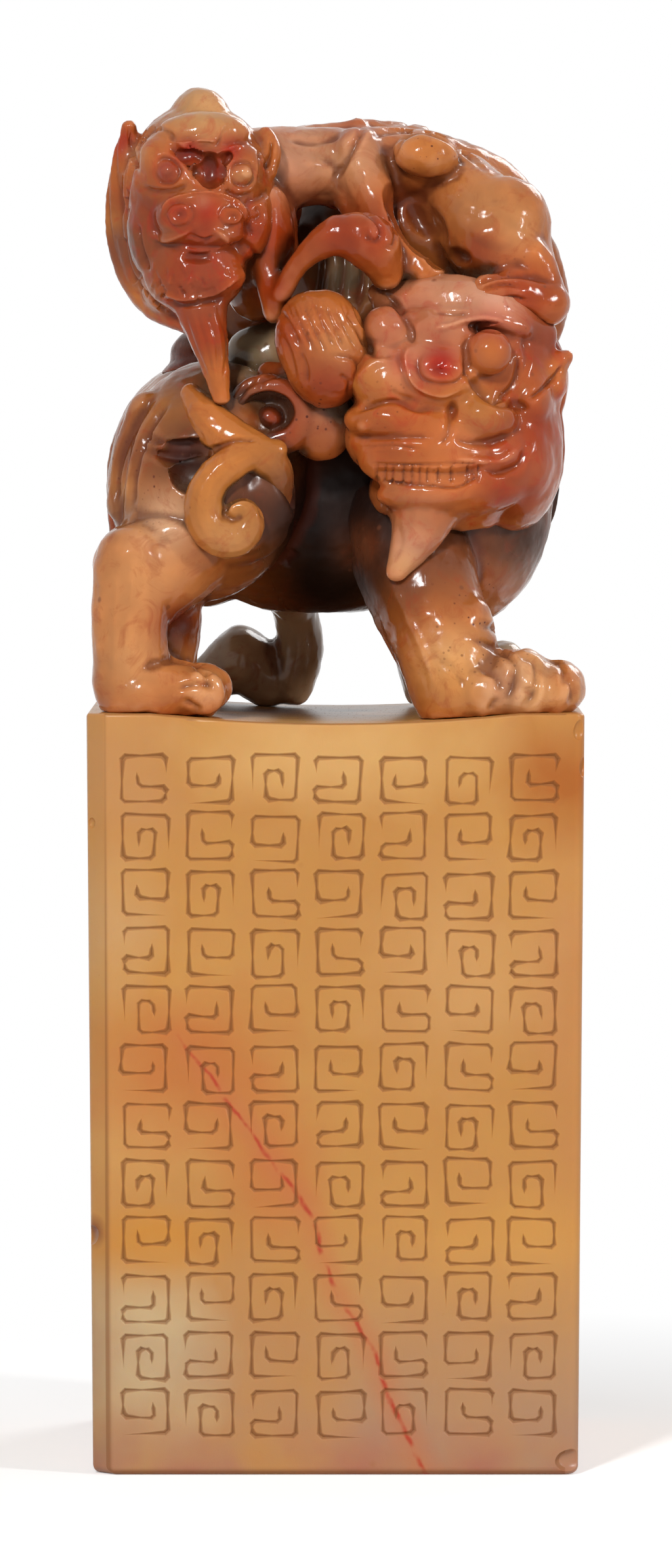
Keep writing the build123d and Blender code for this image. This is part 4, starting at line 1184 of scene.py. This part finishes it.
def wash(piece, ground, washes):
    """Lays washes of colour over a ground colour. The far side is browner and duller, partly its own tone and
    partly painted shade that is deepest low down, and its legs are painted lighter against the body's shadow.
    """
    points = Clay(piece).points
    colour = np.tile(np.array(ground), (len(points), 1))
    for x, height, radius, tint, strength in washes:
        share = strength * spread(points, (x, height), radius)[:, None]
        colour += (np.array(tint) - colour) * np.clip(share * 1.15, 0, 1)
    far_side = ramp(points[:, 1], FAR_START, 7)[:, None]
    low = ramp(-points[:, 2], -(BLOCK_TOP + BELLY_HEIGHT), 8)[:, None]
    legs = ramp(-points[:, 2], -(BLOCK_TOP + LEG_HEIGHT), 4)[:, None]
    # Painted shade, with some of the far side's own browner tone: the far side darkens, most of all low down.
    colour += (FAR_BROWN_AND_SHADE - colour) * 0.75 * far_side * (0.4 + 0.6 * low)
    # Painted light: the far legs, which lie in the body's shadow, are lifted to a pale colour.
    colour += (FAR_LEGS_PAINTED_LIGHT - colour) * 0.85 * far_side * legs
    rows = np.hstack([colour, np.ones((len(colour), 1))]).astype(np.float32)
    attribute = piece.data.attributes.new("tint", "FLOAT_COLOR", "POINT")
    attribute.data.foreach_set("color", rows.ravel())
    peppered = np.zeros(len(points))
    for x, height, radius, strength in SPECK_SPOTS:
        peppered = np.maximum(peppered, strength * spread(points, (x, height), radius))
    store(piece, "pepper", peppered)


wash(hindquarters, AMBER, FRONT_WASHES)
wash(forequarters, AMBER, FRONT_WASHES)
# The mane's near-black ground is the dark stone's own colour.
wash(mane, UMBER_AND_SHADE, MANE_WASHES)
wash(tail, BROWN, TAIL_WASHES)
wash(haunch_scroll, AMBER, SCROLL_WASHES)
wash(shoulder_scroll, AMBER, SHOULDER_WASHES)
wash(ball, AMBER, BALL_WASHES)
wash(lion_head, AMBER, LION_FACE_WASHES)
wash(cub_head, AMBER, CUB_FACE_WASHES)
wash(cub_body, AMBER, CUB_WASHES)
print("Colours are laid on", len(knop), "pieces")

# %% [markdown]
# ## Words for node trees
#
# A shader is a long sum of masks and colours, so the commonest steps get short names. Specks and the fine
# waves and scratches of a hand polish are used by more than one stone, so each is a node group, built once.

# %% Helpers for node trees
class Graph:
    """A node tree with a word for each common step. A value is a socket, a number or a colour."""

    def __init__(self, tree):
        self.tree = tree

    def put(self, socket, value):
        """Links a value to a socket, or sets it."""
        if isinstance(value, bpy.types.NodeSocket):
            self.tree.links.new(value, socket)
        else:
            socket.default_value = (*value, 1) if socket.type == "RGBA" else value

    def feed(self, made, **values):
        """Gives inputs of a node their values. An underscore stands for the space in a name."""
        for name, value in values.items():
            self.put(made.inputs[name.replace("_", " ")], value)

    def add(self, kind, **settings):
        """Adds a node. Settings that name an input feed it; the others set the node itself."""
        made = self.tree.nodes.new("ShaderNode" + kind)
        for name, value in settings.items():
            if name.replace("_", " ") in made.inputs:
                self.feed(made, **{name: value})
            else:
                setattr(made, name, value)
        return made

    def step(self, kind, operation, first, second, **settings):
        """One step of arithmetic, with numbers or with vectors."""
        made = self.add(kind, operation=operation, **settings)
        self.put(made.inputs[0], first)
        self.put(made.inputs[1], second)
        return made.outputs

    def times(self, first, second):
        return self.step("Math", "MULTIPLY", first, second)[0]

    def minus(self, first, second):
        return self.step("Math", "SUBTRACT", first, second)[0]

    def plus(self, total, *terms, clamp=False):
        """Adds the terms one by one. Only the last sum is clamped."""
        for number, term in enumerate(terms, 1):
            last = number == len(terms)
            total = self.step("Math", "ADD", total, term, use_clamp=clamp and last)[0]
        return total

    def length(self, vector):
        return self.step("VectorMath", "LENGTH", vector, (0, 0, 0))["Value"]

    def between(self, value, low, high, to_low=0.0, to_high=1.0):
        """Stretches a value from one range to another and clamps it."""
        made = self.add("MapRange", Value=value, From_Min=low, From_Max=high, To_Min=to_low, To_Max=to_high)
        return made.outputs["Result"]

    def mix(self, factor, first, second):
        """Mixes two colours."""
        made = self.add("Mix", data_type="RGBA")
        for number, value in ((0, factor), (6, first), (7, second)):
            self.put(made.inputs[number], value)
        return made.outputs[2]

    def noise(self, place, scale, detail=3.0, roughness=0.55, distortion=0.0):
        """A cloud noise read at a place."""
        made = self.add("TexNoise", Vector=place, Scale=scale, Detail=detail)
        self.feed(made, Roughness=roughness, Distortion=distortion)
        return made.outputs["Fac"]

    def wander(self, place, scale, reach, **manner):
        """A noise that swings about zero."""
        return self.times(self.minus(self.noise(place, scale, **manner), 0.5), reach)

    def place(self):
        """The place on the object, in metres."""
        return self.add("TexCoord").outputs["Object"]

    def stored(self, name, output="Fac"):
        """A number or a colour that was stored on the piece."""
        return self.add("Attribute", attribute_name=name).outputs[output]

    def seen(self):
        """1 for a ray that reaches the eye straight, by reflection or through the stone, and else 0."""
        rays = self.add("LightPath").outputs
        kinds = [rays[f"Is {kind} Ray"] for kind in ("Camera", "Glossy", "Transmission")]
        return self.plus(*kinds, clamp=True)


def new_group(name, inputs, outputs):
    """A node group. Returns its graph, the sockets it is given and the node that takes what it makes."""
    tree = bpy.data.node_groups.new(name, "ShaderNodeTree")
    for socket, kind in inputs.items():
        tree.interface.new_socket(socket, in_out="INPUT", socket_type="NodeSocket" + kind)
    for socket in outputs:
        tree.interface.new_socket(socket, in_out="OUTPUT", socket_type="NodeSocketFloat")
    return Graph(tree), tree.nodes.new("NodeGroupInput").outputs, tree.nodes.new("NodeGroupOutput")


# %% Specks
specks, given, made_specks = new_group(
    "stone specks", {"Place": "Vector", "Scale": "Float", "Amount": "Float"}, ["Mask"]
)
cells = specks.add("TexVoronoi", feature="F1", Vector=given["Place"], Scale=given["Scale"])
chance = specks.add("SeparateColor", Color=cells.outputs["Color"]).outputs
picked = specks.step("Math", "LESS_THAN", chance["Red"], given["Amount"])[0]
inside = specks.minus(specks.times(chance["Green"], 0.3), cells.outputs["Distance"])
specks.feed(made_specks, Mask=specks.times(picked, specks.between(inside, -0.02, 0.1)))

# %% Surface: fine scratches and waviness from polishing by hand
SCRATCH_STRETCH, SCRATCH_TURN = (9000, 700, 1500), (0.4, 0.2, 0.7)
surface, given, made_surface = new_group("hand polish", {"Place": "Vector"}, ["Height", "Wear"])
waves = surface.noise(given["Place"], 420, detail=2)
grit = surface.noise(given["Place"], 5200, roughness=0.7)
stretch = surface.add("Mapping", Vector=given["Place"], Scale=SCRATCH_STRETCH, Rotation=SCRATCH_TURN)
scratch = surface.between(surface.noise(stretch.outputs["Vector"], 1.0, detail=1), 0.62, 0.7)
height = surface.minus(surface.plus(waves, surface.times(grit, 0.12)), surface.times(scratch, 0.05))
wear = surface.plus(surface.times(scratch, 0.5), surface.times(grit, 0.5))
surface.feed(made_surface, Height=height, Wear=wear)


# %% Stone of the knop
def new_stone(name, glow=0.12):
    """A stone to start from: a Principled shader whose thin edges glow a little under a light."""
    material = bpy.data.materials.new(name)
    material.use_nodes = True
    shader = material.node_tree.nodes["Principled BSDF"]
    graph = Graph(material.node_tree)
    graph.feed(shader, Subsurface_Weight=glow, Subsurface_Radius=(1.0, 0.36, 0.14))
    graph.feed(shader, Subsurface_Scale=0.9 * MM, IOR=1.54, Specular_IOR_Level=0.2)
    return material, graph, shader


def speckle(graph, place, scale, amount):
    """A mask of round specks."""
    made = graph.add("Group", node_tree=specks.tree, Place=place, Scale=scale, Amount=amount)
    return made.outputs["Mask"]


def polish_stone(graph, shader, place, colour, wear, polish, dull, relief):
    """Ends a stone: its colour, its roughness from wear, polish and what dulls it, and its fine relief."""
    finish = graph.add("Group", node_tree=surface.tree, Place=place).outputs
    rough = graph.plus(graph.times(finish["Wear"], wear), polish, *dull, clamp=True)
    bump = graph.add("Bump", Strength=relief, Distance=0.1 * MM, Height=finish["Height"])
    graph.feed(shader, Base_Color=colour, Roughness=rough, Normal=bump.outputs["Normal"])


# The second colour is the dark of the painted shade in creases, and also the colour of the dark specks.
PALE, CREASE_SHADE_AND_SPECKS, DUST = (0.80, 0.55, 0.33), (0.10, 0.018, 0.008), (0.155, 0.118, 0.075)


def knop_stone(name, polish=0.2, dustiness=0.0, vein=RUSSET, crease_shade=0.6):
    """The stone of the knop: its laid colours with clouds, veins and specks, dust in the recesses, and
    painted shade darkening the recesses and creases.
    """
    material, graph, shader = new_stone(name)
    place, tint = graph.place(), graph.stored("tint", "Color")
    crease, crown, recess = (graph.stored(mask) for mask in ("crease", "crown", "recess"))
    # Dark stone keeps its colour: it takes no honey, less dust and a duller polish.
    tone = graph.add("RGBToBW", Color=tint).outputs["Val"]
    pale, gloss = graph.between(tone, 0.02, 0.2), graph.between(tone, 0.012, 0.075)
    clouds = graph.between(graph.noise(place, 170, distortion=0.5), 0.3, 0.7, 0.75, 1.15)
    light = graph.plus(clouds, graph.times(crown, 0.25))
    colour = graph.add("HueSaturation", Value=light, Color=tint).outputs["Color"]
    veins = graph.noise(place, 420, detail=5, roughness=0.65, distortion=1.6)
    colour = graph.mix(graph.times(gloss, graph.between(veins, 0.52, 0.70, 0, 0.45)), colour, vein)
    spots = graph.between(graph.noise(place, 260, detail=2), 0.58, 0.74, 0, 0.15)
    colour = graph.mix(graph.times(pale, spots), colour, HONEY)
    colour = graph.mix(graph.times(pale, graph.between(crown, 0.4, 1.0, 0, 0.16)), colour, PALE)
    # Painted shade: the creases and cuts are darkened, as if shade fell in them.
    colour = graph.mix(graph.between(crease, 0.1, 0.9, 0, crease_shade), colour, CREASE_SHADE_AND_SPECKS)
    pepper = graph.times(speckle(graph, place, 2600.0, 0.55), graph.stored("pepper"))
    # Dark specks of the grain, in the same dark colour.
    colour = graph.mix(pepper, colour, CREASE_SHADE_AND_SPECKS)
    colour = graph.mix(graph.times(speckle(graph, place, 1100.0, 0.10), 0.55), colour, BROWN)
    # Painted shade: points deep in a recess, where the carving crowds round them, are darkened towards near
    # black.
    colour = graph.mix(graph.between(recess, 0.28, 0.9, 0, 0.72), colour, UMBER_AND_SHADE)
    settled = graph.wander(place, 1100, 0.8, detail=4, roughness=0.7)
    dust = graph.minus(graph.plus(recess, settled, graph.times(crease, 0.12)), graph.times(crown, 0.3))
    dust = graph.between(dust, 0.76 - dustiness, 1.15 - dustiness, 0, 0.5)
    dust = graph.times(dust, graph.plus(graph.times(pale, 0.85), 0.15))
    colour = graph.mix(dust, colour, DUST)
    dull = (graph.times(dust, 0.6), graph.times(graph.minus(1, gloss), 0.4), graph.times(crease, 0.06))
    polish_stone(graph, shader, place, colour, wear=0.12, polish=polish, dull=dull, relief=0.38)
    return material


amber_stone = knop_stone("amber stone", polish=0.11)
red_stone = knop_stone("red stone", polish=0.09, dustiness=-0.2, vein=CRIMSON, crease_shade=0.5)
dark_stone = knop_stone("dark stone", polish=0.24, vein=UMBER_AND_SHADE)
print("Knop stones:", amber_stone.name, red_stone.name, dark_stone.name)

# %% [markdown]
# ## The block's stone
#
# The block is the calm end of the same stone. Honey above, greyer and more see-through below, a pink foot,
# a cloud of red on the left and a thin red vein that runs from it down to the right. Its top under the knop
# is painted nearly black, as painted shade and reflection. The vein is a crack that healed, a sheet through
# the stone, so it is drawn as a curve of x over z and shows on the far side too.

# %% Stone of the block
# Each soft patch: its middle and its reach in millimetres, its colour and its strength.
BLOCK_WASHES = (
    # Painted shade and reflection: the block's top, under the knop, is painted nearly black.
    ((-1, 3, 49.8), (17, 19, 2.4), (0.05, 0.018, 0.01), 1.0),
    ((-15, -16, 22), (9, 30, 7), (0.60, 0.31, 0.10), 0.6),
    ((-10, -16, 27), (8, 12, 6), (0.49, 0.13, 0.028), 0.65),
    ((-4, -16, 21), (4, 10, 6), (0.52, 0.15, 0.04), 0.6),
    ((-12.5, -16, 8), (6, 10, 7), (0.64, 0.50, 0.27), 0.85),
    ((-12, -16, 15), (6, 10, 3), (0.57, 0.24, 0.035), 0.8),
    ((-15, -16, 36), (4, 10, 7), (0.58, 0.34, 0.15), 0.6),
    ((12, -16, 14.5), (7, 12, 4), (0.62, 0.30, 0.07), 0.75),
    ((15, -16, 45), (5, 12, 5), (0.38, 0.10, 0.012), 0.85),
    ((-14, -16, 45), (5, 12, 6), (0.50, 0.24, 0.095), 0.6),
    ((0, -16, 47), (11, 14, 4), (0.70, 0.42, 0.16), 0.6),
    ((15, -16, 30), (3, 12, 14), (0.52, 0.22, 0.08), 0.5),
    ((-15.6, -15, 15.9), (0.9, 3, 1.2), (0.22, 0.06, 0.02), 0.9),
    ((8, -16, 33), (7, 12, 8), (0.62, 0.34, 0.135), 0.5),
)
DEEP_HONEY, CLEAR_HONEY, FINE_GRAIN = (0.49, 0.22, 0.055), (0.56, 0.275, 0.07), (0.50, 0.22, 0.075)
GREY_LOW, PINK_FOOT, CUT_BROWN = (0.40, 0.235, 0.145), (0.40, 0.15, 0.10), (0.27, 0.105, 0.035)
VEIN_HALO, VEIN_RED, FRECKLE = (0.52, 0.15, 0.055), (0.44, 0.045, 0.018), (0.33, 0.12, 0.04)
# The vein's height and its place across, in millimetres, and the ranges that its curve spans.
VEIN_LINE = (
    (0.0, 5.9), (4.9, 3.6), (8.5, 2.2), (11.1, 0.6), (13.6, -0.6), (16.6, -1.4), (20.7, -4.2), (29.3, -11.3)
)
VEIN_HEIGHT, VEIN_SPAN = 30, 32


def soft_spot(graph, place, centre, reach, strength):
    """A soft mask round a place, with its own reach along each axis, all in millimetres."""
    offset = graph.step("VectorMath", "SUBTRACT", place, [value * MM for value in centre])[0]
    scaled = graph.step("VectorMath", "DIVIDE", offset, [value * MM for value in reach])[0]
    nearness = graph.plus(graph.length(scaled), graph.wander(place, 180, 1.1))
    return graph.between(nearness, 0.25, 1.1, strength, 0)


def vein_distance(graph, x, z, place):
    """How far a place is from the vein, in metres."""
    curve = graph.add("FloatCurve", Value=graph.times(z, 1 / (VEIN_HEIGHT * MM)))
    line = curve.mapping.curves[0]
    route = [(height / VEIN_HEIGHT, across / VEIN_SPAN + 0.5) for height, across in VEIN_LINE]
    for height, across in route[1:-1]:
        line.points.new(height, across)
    line.points[0].location = route[0]
    line.points[-1].location = (1, route[-1][1])
    curve.mapping.update()
    across = graph.minus(graph.times(curve.outputs["Value"], VEIN_SPAN * MM), VEIN_SPAN / 2 * MM)
    gap = graph.plus(graph.minus(x, across), graph.wander(place, 520, 0.9 * MM))
    return graph.step("Math", "ABSOLUTE", gap, 0)[0]


def cut_mask(graph, x, y, z):
    """Where the frets are cut: just behind the front plane, and away from the block's edges."""
    plane = graph.plus(graph.times(z, SLANT), (lowest.y - SLANT * lowest.z) * MM)
    depth = graph.minus(y, plane)
    cut = graph.times(
        graph.between(depth, 0.015 * MM, 0.09 * MM), graph.between(depth, 0.3 * MM, 0.32 * MM, 1, 0)
    )
    across = graph.step("Math", "ABSOLUTE", x, 0)[0]
    return graph.times(cut, graph.between(across, 14.9 * MM, 15.0 * MM, 1, 0))


def block_stone(name):
    """Honey stone with soft patches, a red vein, and brown rubbed into the cuts."""
    material, graph, shader = new_stone(name, glow=0.3)
    place = graph.place()
    x, y, z = graph.add("SeparateXYZ", Vector=place).outputs
    clouds = graph.between(graph.noise(place, 60, detail=4, distortion=0.5), 0.3, 0.7)
    colour = graph.mix(clouds, DEEP_HONEY, CLEAR_HONEY)
    fine = graph.between(graph.noise(place, 380, detail=4, roughness=0.65), 0.35, 0.7)
    colour = graph.mix(graph.times(fine, 0.3), colour, FINE_GRAIN)
    for centre, reach, tint, strength in BLOCK_WASHES:
        colour = graph.mix(soft_spot(graph, place, centre, reach, strength), colour, tint)
    low = graph.between(z, 0.003, 0.016, 1, 0)
    grey = graph.times(low, graph.between(graph.noise(place, 85), 0.25, 0.6))
    colour = graph.mix(graph.times(grey, 0.85), colour, GREY_LOW)
    foot = graph.between(z, 0.0005, 0.0042, 0.85, 0)
    pink = graph.times(foot, graph.between(graph.noise(place, 130), 0.38, 0.62))
    colour = graph.mix(pink, colour, PINK_FOOT)
    gap = vein_distance(graph, x, z, place)
    reach = graph.between(z, 0.026, 0.030, 1, 0)
    halo = graph.times(graph.between(gap, 0.0, 1.6 * MM, 0.5, 0), reach)
    colour = graph.mix(halo, colour, VEIN_HALO)
    broken = graph.between(graph.noise(place, 700, detail=2), 0.36, 0.56)
    thread = graph.times(graph.between(gap, 0.05 * MM, 0.24 * MM, 0.9, 0), broken)
    colour = graph.mix(graph.times(thread, reach), colour, VEIN_RED)
    cut = cut_mask(graph, x, y, z)
    colour = graph.mix(graph.times(cut, 0.62), colour, CUT_BROWN)
    colour = graph.mix(graph.times(speckle(graph, place, 420.0, 0.06), 0.35), colour, FRECKLE)
    dull = (graph.times(cut, 0.4),)
    polish_stone(graph, shader, place, colour, wear=0.22, polish=0.24, dull=dull, relief=0.3)
    return material


honey_stone = block_stone("honey stone")
print("The block's stone has", len(honey_stone.node_tree.nodes), "nodes")

# %% [markdown]
# ## Putting the pieces in the frame
#
# Each piece is turned from millimetres to metres, gets its stone, rides on the one body of the seal and
# hides the CAD nodes it stands for.

# %% Placing the pieces
ROOT = "root"


def keep(piece, stone, *nodes):
    """Finishes a piece: metres, smooth shading, its stone and slot, its body and the nodes it replaces."""
    piece.data.transform(Matrix.Scale(MM, 4))
    piece.data.materials.clear()
    piece.data.materials.append(stone)
    only(piece)
    bpy.ops.object.shade_smooth()
    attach(piece, ROOT)
    if nodes:
        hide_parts(*nodes)


keep(
    hindquarters, amber_stone,
    "adult_torso", "adult_rump", "near_thigh", "near_hind_leg", "near_hind_paw", "far_hind_leg",
    "far_hind_paw",
)
keep(
    forequarters, amber_stone,
    "adult_chest", "adult_neck", "near_foreleg", "near_fore_paw", "far_foreleg", "far_fore_paw",
)
keep(mane, dark_stone, "adult_mane")
keep(tail, dark_stone, "adult_tail")
keep(haunch_scroll, amber_stone, "haunch_scroll")
keep(shoulder_scroll, amber_stone, "shoulder_scroll")
keep(ball, amber_stone, "play_ball")
keep(
    lion_head, red_stone,
    "adult_head", "adult_muzzle", "adult_jaw", "adult_brow", "adult_ears", "adult_beard", "adult_nose",
    "adult_eyes", "adult_teeth",
)
keep(
    cub_head, red_stone,
    "cub_head", "cub_muzzle", "cub_jaw", "cub_ears", "cub_mane", "cub_beard", "cub_eyes", "cub_brows",
)
keep(
    cub_body, amber_stone,
    "cub_torso", "cub_spine", "cub_chest", "cub_foreleg", "cub_leg_tuft", "cub_haunch", "cub_hip_knob",
    "cub_hind_paw", "cub_far_foreleg", "cub_far_haunch", "cub_tail",
)
keep(block, honey_stone, "seal_block")
only(block)
bpy.ops.object.shade_smooth_by_angle(angle=math.radians(30))
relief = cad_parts["seal_relief"]
relief.data.materials.clear()
relief.data.materials.append(honey_stone)

# %% [markdown]
# ## Floor and light
#
# The floor is white near the seal and holds its shadow. Farther off it turns, for the camera and in
# reflections, into the same pure white as the world behind it, so that no horizon shows. The lamps are two
# soft boxes in front, high left and right, whose reflections draw the polish, and a weaker one behind.

# %% Floor
WHITE = (1, 1, 1)
SHADE_RADIUS, WHITE_RADIUS = 0.03, 0.085

bpy.ops.mesh.primitive_plane_add(size=4, location=(0, 0, 0))
floor = bpy.context.active_object
floor.name = "floor"
floor_material = bpy.data.materials.new("floor")
floor_material.use_nodes = True
tree = floor_material.node_tree
graph = Graph(tree)
paper = tree.nodes["Principled BSDF"]
lift = graph.times(graph.add("LightPath").outputs["Is Camera Ray"], 0.36)
graph.feed(paper, Base_Color=(0.92, 0.92, 0.92), Roughness=0.9, Specular_IOR_Level=0.1)
graph.feed(paper, Emission_Color=WHITE, Emission_Strength=lift)
white = graph.add("Emission", Color=WHITE)
away = graph.between(graph.length(graph.place()), SHADE_RADIUS, WHITE_RADIUS)
blend = graph.add("MixShader", Fac=graph.times(away, graph.seen()))
graph.put(blend.inputs[1], paper.outputs[0])
graph.put(blend.inputs[2], white.outputs[0])
graph.feed(tree.nodes["Material Output"], Surface=blend.outputs[0])
floor.data.materials.append(floor_material)

# %% Lights
def soft_box(name, place, aim, size, power):
    """A square soft box in metres, pointed at a place."""
    data = bpy.data.lights.new(name, "AREA")
    data.shape = "RECTANGLE"
    data.size, data.size_y = size
    data.energy = power
    lamp = bpy.data.objects.new(name, data)
    bpy.context.scene.collection.objects.link(lamp)
    lamp.location = place
    lamp.rotation_euler = (Vector(place) - Vector(aim)).to_track_quat("Z", "Y").to_euler()


MIDDLE = (0, 0, 0.06)
soft_box("key light", (-0.14, -0.46, 0.34), MIDDLE, (0.055, 0.085), 2.0)
soft_box("fill light", (0.44, -0.26, 0.26), MIDDLE, (0.045, 0.09), 1.1)
soft_box("back light", (0.25, 0.42, 0.35), MIDDLE, (0.2, 0.2), 0.7)

AMBIENT = 0.17
world = bpy.data.worlds.new("studio")
bpy.context.scene.world = world
world.use_nodes = True
sky = Graph(world.node_tree)
strength = sky.plus(sky.times(sky.seen(), 1 - AMBIENT), AMBIENT)
sky.feed(world.node_tree.nodes["Background"], Color=WHITE, Strength=strength)
bpy.context.scene.view_settings.view_transform = "Standard"
